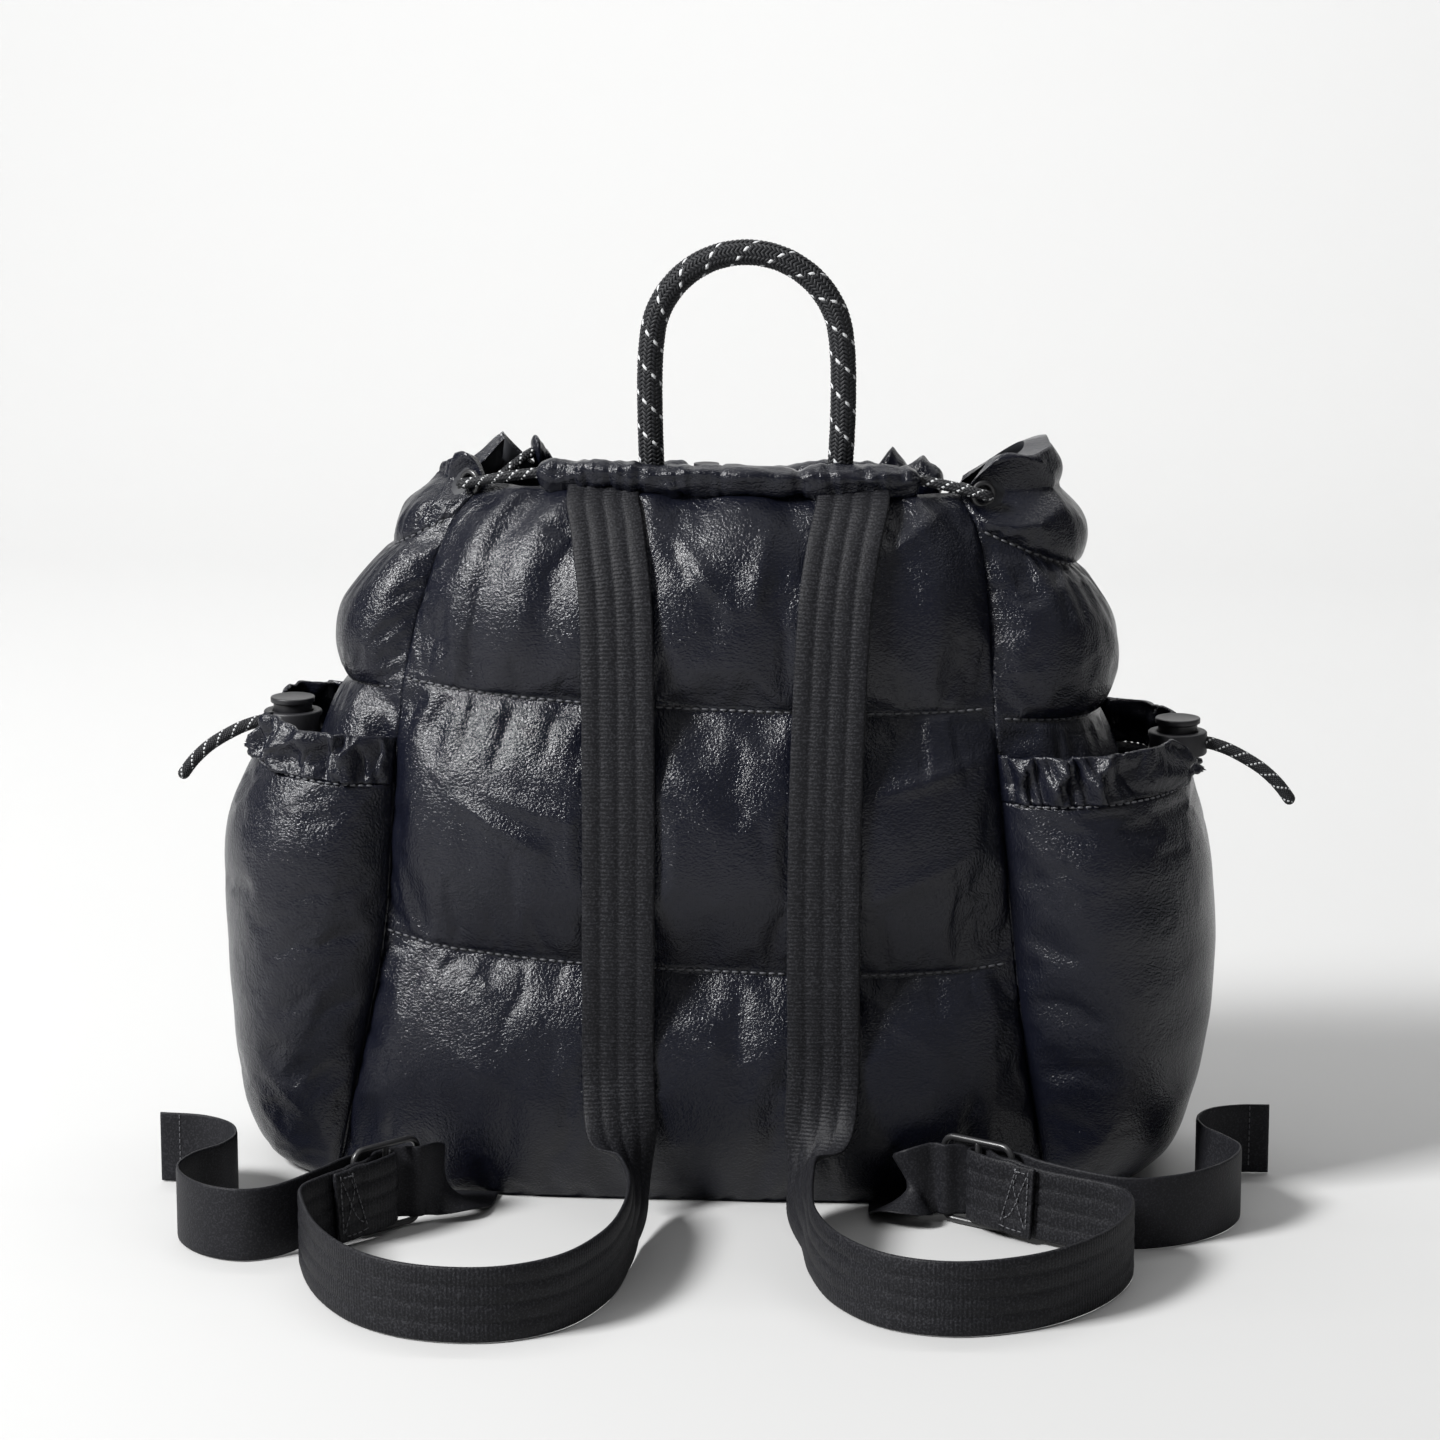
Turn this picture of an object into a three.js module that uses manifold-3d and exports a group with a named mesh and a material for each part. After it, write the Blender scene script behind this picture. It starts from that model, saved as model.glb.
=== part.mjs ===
// Quilted puffer drawstring backpack, standing on its base with its straps laid out in front of it.
// Millimetres, +Z up, +X to the wearer's right as seen from the strap side, straps on the -Y side.
// The origin is the middle of the base, on the surface that the bag stands on.

import * as THREE from 'three';
import { mergeVertices } from 'three/addons/utils/BufferGeometryUtils.js';
import Module from 'manifold-3d';

const wasm = await Module();
wasm.setup();

// Main body
const bodyHeight = 296;       // base to the rim of the back panel
const bodyHalfWidth = 178;    // at the base
const bodyHalfDepth = 73;
const lean = 13;              // how far the rim has slumped sideways
const droop = 0.034;          // fall of the quilting rows across the slump
const clothWall = 2.2;        // shell and lining together at a seam
const padDepth = 7;           // filling between two seams, inside the shell
const puff = 13;              // how far a quilted row stands out between its seams
const gatherDepth = 2.4;      // folds that the drawcord pulls into the top row
const gap = 0.3;              // between pieces that meet
const seamGap = 1;            // groove between two panels at their seam
const baseBoard = 3;          // base cloth, doubled

// Drawcord rim
const hemHeight = 11;
const hemDepth = 10;
const hemWall = 1.4;
const frontRimDrop = 12;      // the front rim sits lower than the back one
const drawcordDiameter = 5;
const eyeletOuter = 11.5;
const eyeletBore = 7;
const eyeletRim = 1.2;        // wall of its barrel
const eyeletHeight = 2;

// Side pockets
const pocketHeight = 172;
const pocketReach = 42;       // how far the pocket stands off the gusset
const pocketWall = 2.6;
const ruffleHeight = 19;
const ruffleDepth = 3.4;
const ruffleFolds = 9;
const ruffleWall = 3;

// Cord locks of the pockets
const lockDiameter = 25;
const lockHeight = 9.8;
const buttonDiameter = 19;
const buttonHeight = 2.4;
const buttonTravel = 3;
const lockFloor = 1.5;        // under the well that the button slides in
const stemDiameter = 13;
const cordHoleWidth = 8;
const cordHoleHeight = 6;
const pocketCordWidth = 7;
const pocketCordThickness = 4.5;

// Handle rope
const handleDiameter = 10.8;
const handleSpan = 79;        // between the two legs
const handleRise = 98;        // top of the arch above the back rim, at the rope's middle
const handleTuck = 14;        // how far the legs go down inside the rim
const handleOffset = 18;      // the arch stands to the right of the middle

// Webbing
const strapWidth = 30;
const strapThickness = 2.4;
const tailThickness = 1.6;
const sliderWire = 2.8;
const sliderLength = 36;
const sliderRise = 38;
const foldBack = 31;          // sewn end of a strap beyond its slider
const strapEase = 1;          // how far a strap stands off the crest of the quilting

const quiltColour = 0x14161c;
const webbingColour = 0x17181d;
const plasticColour = 0x1b1c20;
const metalColour = 0x2a2b2e;
const cordColour = 0x121317;

// Level sections of the body. Columns: rise is a share of the body height, width and depth are
// shares of the half sizes, square is the exponent of the outline. seam is where the back and
// front seams run and shift how far they have crept to -X, both shares of the section's half width.
const bodySections = [
  { rise: 0.00, width: 1.00, depth: 0.93, square: 3.0, seam: 0.85, shift: 0.02 },
  { rise: 0.18, width: 0.965, depth: 0.97, square: 2.9, seam: 0.82, shift: 0.015 },
  { rise: 0.35, width: 0.93, depth: 0.97, square: 2.8, seam: 0.80, shift: 0.01 },
  { rise: 0.55, width: 0.905, depth: 0.94, square: 2.7, seam: 0.79, shift: 0.03 },
  { rise: 0.72, width: 0.87, depth: 0.87, square: 2.6, seam: 0.795, shift: 0.05 },
  { rise: 0.88, width: 0.81, depth: 0.74, square: 2.4, seam: 0.80, shift: 0.05 },
  { rise: 0.95, width: 0.755, depth: 0.65, square: 2.3, seam: 0.81, shift: 0.05 },
  { rise: 1.00, width: 0.675, depth: 0.58, square: 2.2, seam: 0.82, shift: 0.045 },
];

// Quilting seams as shares of the panel's height. dip is how much lower the line runs at the
// middle of the panel, as a share of the body height.
const panelSeams = [{ rise: 0, dip: 0 }, { rise: 0.362, dip: 0.022 }, { rise: 0.72, dip: 0.012 }, { rise: 1, dip: 0 }];
const gussetSeams = [
  { rise: 0, dip: 0 }, { rise: 0.362, dip: 0.01 }, { rise: 0.705, dip: 0.01 },
  { rise: 0.955, dip: 0.06 }, { rise: 1, dip: 0 },
];

// Rim of a gusset from its back seam (0) to its front seam (1), as shares of the body height.
const gussetRim = [
  { along: 0, rise: 0.995 }, { along: 0.12, rise: 1.06 }, { along: 0.24, rise: 1.05 },
  { along: 0.42, rise: 1.04 }, { along: 0.7, rise: 1.005 }, { along: 1, rise: 0.965 },
];

// Profile of each side pocket from its bottom seam (0) to the ruffle (1), as shares of its reach.
const pocketProfile = [
  { rise: 0, left: 0, right: 0 }, { rise: 0.04, left: 0.23, right: 0.27 }, { rise: 0.1, left: 0.4, right: 0.5 },
  { rise: 0.2, left: 0.56, right: 0.7 }, { rise: 0.42, left: 0.78, right: 0.97 }, { rise: 0.62, left: 0.91, right: 1.09 },
  { rise: 0.8, left: 1, right: 1.08 }, { rise: 0.9, left: 0.94, right: 1.03 }, { rise: 1, left: 0.79, right: 0.91 },
];

const clamp01 = (t) => Math.min(1, Math.max(0, t));

// Value of a column between the rows of a table, on a smooth curve through them.
function between(rows, key, column, at) {
  const last = rows.length - 1;
  let i = rows.findIndex((row) => row[key] > at) - 1;
  if (i < -0.5) i = at < rows[0][key] ? 0 : last - 1;
  const [a, b] = [rows[i], rows[i + 1]];
  const [before, after] = [rows[Math.max(0, i - 1)], rows[Math.min(last, i + 2)]];
  const span = b[key] - a[key];
  const t = clamp01((at - a[key]) / span);
  const slopeA = ((b[column] - before[column]) / (b[key] - before[key])) * span;
  const slopeB = ((after[column] - a[column]) / (after[key] - a[key])) * span;
  const t2 = t * t;
  const t3 = t2 * t;
  return (2 * t3 - 3 * t2 + 1) * a[column] + (t3 - 2 * t2 + t) * slopeA
    + (3 * t2 - 2 * t3) * b[column] + (t3 - t2) * slopeB;
}

// Level section of the body at a rise.
function sectionAt(rise) {
  const at = clamp01(rise);
  const halfWidth = bodyHalfWidth * between(bodySections, 'rise', 'width', at);
  const square = between(bodySections, 'rise', 'square', at);
  const seam = between(bodySections, 'rise', 'seam', at);
  const shift = between(bodySections, 'rise', 'shift', at);
  return {
    halfWidth,
    halfDepth: bodyHalfDepth * between(bodySections, 'rise', 'depth', at),
    square,
    seamRight: Math.acos((seam - shift) ** (square / 2)),
    seamLeft: Math.acos((seam + shift) ** (square / 2)),
  };
}

// The slump of the standing bag: the upper part leans to +X and its rows fall on that side, while
// the drawn rim stays nearly level.
function slump(point) {
  const rise = point.z / bodyHeight;
  const fall = droop * Math.min(1, Math.max(0, rise) / 0.3) * (1 - 0.75 * clamp01((rise - 0.75) / 0.25));
  return new THREE.Vector3(point.x + lean * rise * Math.abs(rise), point.y, point.z - fall * point.x);
}

// Point of the body's outline at an angle round it, moved outwards by a distance.
function bodyPoint(angle, rise, out) {
  const { halfWidth, halfDepth, square } = sectionAt(rise);
  const [c, s] = [Math.cos(angle), Math.sin(angle)];
  const x = halfWidth * Math.sign(c) * Math.abs(c) ** (2 / square);
  const y = halfDepth * Math.sign(s) * Math.abs(s) ** (2 / square);
  const slopeX = (Math.sign(x) * (Math.abs(x) / halfWidth) ** (square - 1)) / halfWidth;
  const slopeY = (Math.sign(y) * (Math.abs(y) / halfDepth) ** (square - 1)) / halfDepth;
  const length = Math.hypot(slopeX, slopeY);
  return new THREE.Vector3(x + (out * slopeX) / length, y + (out * slopeY) / length, rise * bodyHeight);
}

// Where a panel starts and how far it turns, seen from above, at a rise. The share runs with the angle.
const panelSpans = {
  back: ({ seamLeft, seamRight }) => [-Math.PI + seamLeft, Math.PI - seamLeft - seamRight],
  right: ({ seamRight }) => [-seamRight, 2 * seamRight],
  front: ({ seamLeft, seamRight }) => [seamRight, Math.PI - seamLeft - seamRight],
  left: ({ seamLeft }) => [Math.PI - seamLeft, 2 * seamLeft],
};

function panelPoint(span, along, rise, out) {
  const [start, turn] = span(sectionAt(rise));
  const point = bodyPoint(start + turn * along, rise, out);
  const ahead = bodyPoint(start + turn * (along + 0.004), rise, out).sub(bodyPoint(start + turn * (along - 0.004), rise, out));
  const shift = along < 0.001 ? seamGap / 2 : along > 0.999 ? -seamGap / 2 : 0;
  return slump(point.addScaledVector(ahead.normalize(), shift));
}

// Turns a triangle soup's index round where its volume comes out negative.
function closedGeometry(points, triangles) {
  let volume = 0;
  for (const [a, b, c] of triangles) {
    volume += points[a].dot(new THREE.Vector3().crossVectors(points[b], points[c]));
  }
  const index = triangles.flatMap(([a, b, c]) => (volume < 0 ? [a, c, b] : [a, b, c]));
  const geometry = new THREE.BufferGeometry();
  geometry.setAttribute('position', new THREE.Float32BufferAttribute(points.flatMap((p) => [p.x, p.y, p.z]), 3));
  geometry.setIndex(index);
  geometry.computeVertexNormals();
  return geometry;
}

// Closed wall between an outer and an inner surface, each a function of two shares.
function slab(outer, inner, stepsU, stepsV) {
  const points = [];
  const at = (side, i, j) => (side * (stepsV + 1) + j) * (stepsU + 1) + i;
  for (const surface of [outer, inner]) {
    for (let j = 0; j <= stepsV; j += 1) {
      for (let i = 0; i <= stepsU; i += 1) points.push(surface(i / stepsU, j / stepsV));
    }
  }
  const triangles = [];
  const quad = (a, b, c, d) => triangles.push([a, b, c], [a, c, d]);
  for (let j = 0; j < stepsV; j += 1) {
    for (let i = 0; i < stepsU; i += 1) {
      quad(at(0, i, j), at(0, i + 1, j), at(0, i + 1, j + 1), at(0, i, j + 1));
      quad(at(1, i, j), at(1, i, j + 1), at(1, i + 1, j + 1), at(1, i + 1, j));
    }
  }
  for (let i = 0; i < stepsU; i += 1) {
    quad(at(0, i, 0), at(1, i, 0), at(1, i + 1, 0), at(0, i + 1, 0));
    quad(at(0, i, stepsV), at(0, i + 1, stepsV), at(1, i + 1, stepsV), at(1, i, stepsV));
  }
  for (let j = 0; j < stepsV; j += 1) {
    quad(at(0, 0, j), at(0, 0, j + 1), at(1, 0, j + 1), at(1, 0, j));
    quad(at(0, stepsU, j), at(1, stepsU, j), at(1, stepsU, j + 1), at(0, stepsU, j + 1));
  }
  return closedGeometry(points, triangles);
}

// Tube wall with both ends open: rings of the outer and the inner section along a path.
function sleeve(outerRings, innerRings) {
  const sides = outerRings[0].length;
  const rings = outerRings.length;
  const points = [...outerRings, ...innerRings].flat();
  const at = (ring, side) => ring * sides + (side % sides);
  const triangles = [];
  const quad = (a, b, c, d) => triangles.push([a, b, c], [a, c, d]);
  for (let side = 0; side < sides; side += 1) {
    for (let ring = 0; ring < rings - 1; ring += 1) {
      quad(at(ring, side), at(ring, side + 1), at(ring + 1, side + 1), at(ring + 1, side));
      quad(at(rings + ring, side), at(rings + ring + 1, side), at(rings + ring + 1, side + 1), at(rings + ring, side + 1));
    }
    quad(at(0, side), at(rings, side), at(rings, side + 1), at(0, side + 1));
    quad(at(rings - 1, side), at(rings - 1, side + 1), at(2 * rings - 1, side + 1), at(2 * rings - 1, side));
  }
  return closedGeometry(points, triangles);
}

function toSolid(geometry) {
  const bare = geometry.clone();
  bare.deleteAttribute('normal');
  bare.deleteAttribute('uv');
  const merged = mergeVertices(bare, 0.0005);
  const mesh = new wasm.Mesh({
    numProp: 3,
    vertProperties: new Float32Array(merged.attributes.position.array),
    triVerts: new Uint32Array(merged.index.array),
  });
  return new wasm.Manifold(mesh);
}

function fromSolid(solid) {
  const mesh = solid.getMesh();
  const geometry = new THREE.BufferGeometry();
  geometry.setAttribute('position', new THREE.BufferAttribute(new Float32Array(mesh.vertProperties), 3));
  geometry.setIndex(new THREE.BufferAttribute(new Uint32Array(mesh.triVerts), 1));
  geometry.computeVertexNormals();
  return geometry;
}

// The largest body of a cut: slivers left at its edge are dropped.
function largest(solid) {
  return solid.decompose().reduce((best, body) => (body.volume() > best.volume() ? body : best));
}

const backpack = new THREE.Group();
function add(name, geometry, color, roughness, metalness = 0) {
  const mesh = new THREE.Mesh(geometry, new THREE.MeshStandardMaterial({ color, roughness, metalness }));
  mesh.name = name;
  backpack.add(mesh);
}

// Quilted panels
const dome = (t, power) => Math.max(0, Math.sin(Math.PI * clamp01(t))) ** power;

// Rise of a point of a panel: rows of equal steps between curved seams, up to the panel's rim.
function quiltRise(seams, rim, along, up) {
  const rows = seams.length - 1;
  const row = Math.min(rows - 1, Math.floor(up * rows + 1e-9));
  const level = (seam) => seam.rise - seam.dip * (1 - (2 * along - 1) ** 2);
  const [low, high] = [level(seams[row]), row === rows - 1 ? rim(along) : level(seams[row + 1])];
  const within = up * rows - row;
  return { rise: low + (high - low) * within, row, rows, within };
}

function quiltPanel(side, seams, rim, stepsU, stepsPerRow, gathers) {
  const outline = (along, up, inside) => {
    const { rise, row, rows, within } = quiltRise(seams, rim, along, up);
    const full = dome(within, 0.65) * (1 - Math.abs(2 * along - 1) ** 5);
    const fold = row === rows - 1 ? gatherDepth * within * Math.cos(2 * Math.PI * gathers * along) : 0;
    const pull = 1 - Math.abs(2 * along - 1) ** 5;
    const out = puff * full * (row === rows - 1 && rows > 3 ? 0.8 : 1) + fold * pull;
    return panelPoint(panelSpans[side], along, rise, inside ? out - clothWall - padDepth * full : out);
  };
  return slab((u, v) => outline(u, v, false), (u, v) => outline(u, v, true), stepsU, stepsPerRow * (seams.length - 1));
}

const backRim = () => 1;
const frontRimRise = 1 - frontRimDrop / bodyHeight;
const frontRim = (along) => frontRimRise + (0.965 - frontRimRise) * (2 * along - 1) ** 4;
const gussetRimAt = (along) => between(gussetRim, 'along', 'rise', along);

add('back_panel', quiltPanel('back', panelSeams, backRim, 16, 4, 4), quiltColour, 0.35);
add('front_panel', quiltPanel('front', panelSeams, frontRim, 12, 3, 3), quiltColour, 0.35);

// Eyelets sit in the gussets just past the back seam; the drawcord goes in through them. Each one
// lies on a flat seat pressed into the gusset.
const eyeletAlong = 0.085;
const eyeletRise = 0.998;
const eyeletSeat = 1.6;
const eyeletBarrel = 4;
function eyeletFrame(side) {
  const along = side === 'right' ? eyeletAlong : 1 - eyeletAlong;
  const centre = panelPoint(panelSpans[side], along, eyeletRise, 0);
  const normal = panelPoint(panelSpans[side], along, eyeletRise, 10).sub(centre).normalize();
  return { centre, normal };
}

// Moves a piece made along +Z so that it stands on an eyelet's frame, a distance out from it.
function alongNormal(geometry, { centre, normal }, out) {
  const turn = new THREE.Quaternion().setFromUnitVectors(new THREE.Vector3(0, 0, 1), normal);
  return geometry.applyQuaternion(turn).translate(...centre.clone().addScaledVector(normal, out).toArray());
}

const disc = (radius, height, sides) => new THREE.CylinderGeometry(radius, radius, height, sides).rotateX(Math.PI / 2);

for (const side of ['left', 'right']) {
  const rim = side === 'right' ? gussetRimAt : (along) => gussetRimAt(1 - along);
  const panel = toSolid(quiltPanel(side, gussetSeams, rim, 9, 3, 3));
  const frame = eyeletFrame(side);
  const bore = eyeletBore / 2;
  const through = toSolid(alongNormal(disc(bore + eyeletRim + gap, 60, 12), frame, 0));
  const seat = toSolid(alongNormal(disc(eyeletOuter / 2 + gap, 30, 16), frame, eyeletSeat + 15));
  add(`${side}_gusset`, fromSolid(largest(panel.subtract(through).subtract(seat))), quiltColour, 0.35);

  // Rolled metal eyelet: a flange outside the cloth and a barrel through it.
  const profile = [
    [bore, -eyeletBarrel], [bore + eyeletRim, -eyeletBarrel], [bore + eyeletRim, gap], [eyeletOuter / 2, gap],
    [eyeletOuter / 2, gap + eyeletHeight * 0.5], [bore + 0.8, gap + eyeletHeight], [bore, gap + eyeletHeight * 0.6],
    [bore, -eyeletBarrel],
  ].map(([r, h]) => new THREE.Vector2(r, h));
  const ring = new THREE.LatheGeometry(profile, 14).rotateX(Math.PI / 2);
  add(`${side}_eyelet`, alongNormal(ring, frame, eyeletSeat), metalColour, 0.3, 1);
}

// Base: flat doubled cloth inside the lower edges of the four panels.
const baseShape = new THREE.Shape();
const baseSides = 56;
for (let i = 0; i < baseSides; i += 1) {
  const point = bodyPoint((2 * Math.PI * i) / baseSides, 0, -clothWall - 2 * gap);
  if (i === 0) baseShape.moveTo(point.x, point.y);
  else baseShape.lineTo(point.x, point.y);
}
add('base_panel', new THREE.ExtrudeGeometry(baseShape, { depth: baseBoard, bevelEnabled: false }), quiltColour, 0.5);

// Hems: flat sleeves on the rims of the back and front panels. The drawcord runs in them.
const hemSection = (depth, height) => [
  [-0.5, -0.32], [-0.5, 0.32], [-0.2, 0.5], [0.2, 0.5], [0.5, 0.32], [0.5, -0.32], [0.2, -0.5], [-0.2, -0.5],
].map(([o, h]) => [o * depth, h * height]);

function hem(side, rim, from, to, steps, ripples) {
  const rings = (depth, height) => {
    const list = [];
    for (let i = 0; i <= steps; i += 1) {
      const along = from + ((to - from) * i) / steps;
      const wave = 0.5 * Math.sin(2 * Math.PI * ripples * (i / steps));
      const lift = gap + hemHeight / 2;
      list.push(hemSection(depth, height).map(([out, up]) => panelPoint(
        panelSpans[side], along, rim(along), out + wave - clothWall / 2,
      ).add(new THREE.Vector3(0, 0, up + lift))));
    }
    return list;
  };
  return sleeve(rings(hemDepth, hemHeight), rings(hemDepth - 2 * hemWall, hemHeight - 2 * hemWall));
}

const backHemFrom = 0.175;
const backHemTo = 0.885;
const frontHemFrom = 0.12;
const frontHemTo = 0.88;
add('back_hem', hem('back', backRim, backHemFrom, backHemTo, 14, 3), quiltColour, 0.35);
add('front_hem_right', hem('front', frontRim, frontHemFrom, 0.47, 9, 2), quiltColour, 0.35);
add('front_hem_left', hem('front', frontRim, 0.53, frontHemTo, 9, 2), quiltColour, 0.35);

// A round cord along points, closed at both ends.
function cordGeometry(points, width, thickness, sides, steps) {
  const shape = new THREE.Shape();
  for (let i = 0; i < sides; i += 1) {
    const angle = (2 * Math.PI * (i + 0.5)) / sides;
    const [x, y] = [(width / 2) * Math.cos(angle), (thickness / 2) * Math.sin(angle)];
    if (i === 0) shape.moveTo(x, y);
    else shape.lineTo(x, y);
  }
  const path = new THREE.CatmullRomCurve3(points, false, 'centripetal');
  return new THREE.ExtrudeGeometry(shape, { steps, extrudePath: path, bevelEnabled: false });
}

// Drawcord: from the front lock round inside the hems, through both eyelets and the back hem.
function hemPoint(side, rim, along, inward = 0) {
  return panelPoint(panelSpans[side], along, rim(along), -clothWall / 2 - inward)
    .add(new THREE.Vector3(0, 0, gap + hemHeight / 2));
}

function eyeletPoint(side, out) {
  const { centre, normal } = eyeletFrame(side);
  return centre.clone().addScaledVector(normal, out);
}

const shares = (from, to, count) => Array.from({ length: count }, (_, i) => from + ((to - from) * i) / (count - 1));

// The cord's way round the inside of a gathered gusset, from its front seam to its eyelet.
const gatherRun = [
  { along: 0.93, inward: 13 }, { along: 0.75, inward: 15 }, { along: 0.5, inward: 16 }, { along: 0.3, inward: 17 },
];

const halfCord = (side) => {
  const mirror = side === 'right' ? (along) => along : (along) => 1 - along;
  const gusset = (along, inward) => panelPoint(panelSpans[side], mirror(along), 0.98, -inward);
  return [
    ...shares(0.49, frontHemFrom, 7).map((along) => hemPoint('front', frontRim, mirror(along))),
    ...gatherRun.map(({ along, inward }) => gusset(along, inward)),
    eyeletPoint(side, -16), eyeletPoint(side, -6), eyeletPoint(side, 4), eyeletPoint(side, 8),
  ];
};
const backRun = shares(backHemTo, backHemFrom, 9).map((along) => hemPoint('back', backRim, along));
const drawcordRoute = [...halfCord('right'), ...backRun, ...halfCord('left').reverse()];
add('main_drawcord', cordGeometry(drawcordRoute, drawcordDiameter, drawcordDiameter, 8, 60), cordColour, 0.8);

// Plain lock on the front, between the two halves of the front hem.
const lockAt = hemPoint('front', frontRim, 0.5);
const frontLock = disc(5.5, hemHeight, 16).translate(lockAt.x, lockAt.y, lockAt.z);
const lockBore = new THREE.CylinderGeometry(drawcordDiameter / 2 + gap, drawcordDiameter / 2 + gap, 40, 12)
  .rotateZ(Math.PI / 2).translate(lockAt.x, lockAt.y, lockAt.z);
add('front_lock', fromSolid(toSolid(frontLock).subtract(toSolid(lockBore))), plasticColour, 0.4);

// Side pockets with their gathered ruffles. A mouth's hem line stands above the pocket's height by
// atSeam beside the seams and by atSide at its outer side, and there its ruffle dips by dip, where
// the cord lock sits: out is the lock's side of the bag and inset how far in it stands from the ruffle's face.
const locks = [
  { side: 'left', out: -1, atSeam: -3, atSide: 1, dip: 15, inset: 12 },
  { side: 'right', out: 1, atSeam: 3, atSide: 9, dip: 13.5, inset: 4 },
];
const lockStand = 2 * gap;
const dipFrom = 0.14;                            // the dip as shares of the mouth's run, from its middle
const dipFlat = 0.06;
const pocketCorner = (along) => (1 - Math.abs(2 * along - 1) ** 3) ** 0.75;
const gussetSwell = (along, rise) => {
  const seams = gussetSeams.map((seam) => seam.rise - seam.dip * (1 - (2 * along - 1) ** 2));
  const row = Math.max(0, seams.findIndex((level) => level > rise) - 1);
  return puff * dome((rise - seams[row]) / (seams[row + 1] - seams[row]), 0.65) * (1 - Math.abs(2 * along - 1) ** 5);
};

// Outer face of a pocket, and of the ruffle above it, measured from the gusset.
function pocketStand(side, along, height) {
  const share = height / pocketHeight;
  const reach = pocketReach * between(pocketProfile, 'rise', side, clamp01(share)) * pocketCorner(along);
  const over = Math.max(0, share - 1) * 0.5 * pocketReach * pocketCorner(along);
  return Math.max(gussetSwell(along, height / bodyHeight), reach - over) + gap + pocketWall;
}

function ruffleLow({ atSeam, atSide }, along) {
  return pocketHeight + atSeam + (atSide - atSeam) * (1 - Math.abs(2 * along - 1) ** 1.5);
}

function ruffleTop(lock, along) {
  const share = clamp01((dipFrom - Math.abs(along - 0.5)) / (dipFrom - dipFlat));
  return ruffleLow(lock, along) + ruffleHeight - lock.dip * share * share * (3 - 2 * share);
}

for (const lock of locks) {
  const { side } = lock;
  const span = panelSpans[side];
  const pocketFace = (inside) => (u, v) => {
    const height = v * (ruffleLow(lock, u) - gap);
    const out = pocketStand(side, u, height) - (inside ? pocketWall : 0);
    return panelPoint(span, u, height / bodyHeight, out);
  };
  add(`${side}_pocket`, slab(pocketFace(false), pocketFace(true), 12, 9), quiltColour, 0.35);

  const ruffleFace = (inside) => (u, v) => {
    const height = ruffleLow(lock, u) + (ruffleTop(lock, u) - ruffleLow(lock, u)) * v;
    const fold = ruffleDepth * dome(v, 0.4) * Math.sin(2 * Math.PI * ruffleFolds * u) * pocketCorner(u);
    const wall = ruffleWall * (0.75 + 0.6 * dome(v, 0.5));
    const centre = pocketStand(side, u, height) - pocketWall / 2 + fold + ruffleDepth * 0.6 * pocketCorner(u);
    const out = Math.max(centre + (inside ? -wall / 2 : wall / 2), inside ? gap + gussetSwell(u, height / bodyHeight) : 0);
    return panelPoint(span, u, height / bodyHeight, out);
  };
  add(`${side}_pocket_ruffle`, slab(ruffleFace(false), ruffleFace(true), 36, 3), quiltColour, 0.35);
}

// Tail of a pocket cord beyond its lock. Columns: reach outwards and fall, both from the lock.
const cordTail = [
  { reach: 14, fall: 0.4, sweep: 0 }, { reach: 21, fall: 2.6, sweep: -0.4 }, { reach: 28, fall: 6, sweep: -1 },
  { reach: 36, fall: 11, sweep: -1.6 }, { reach: 43, fall: 17.5, sweep: -2 }, { reach: 49, fall: 25.5, sweep: -2.2 },
];

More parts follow.
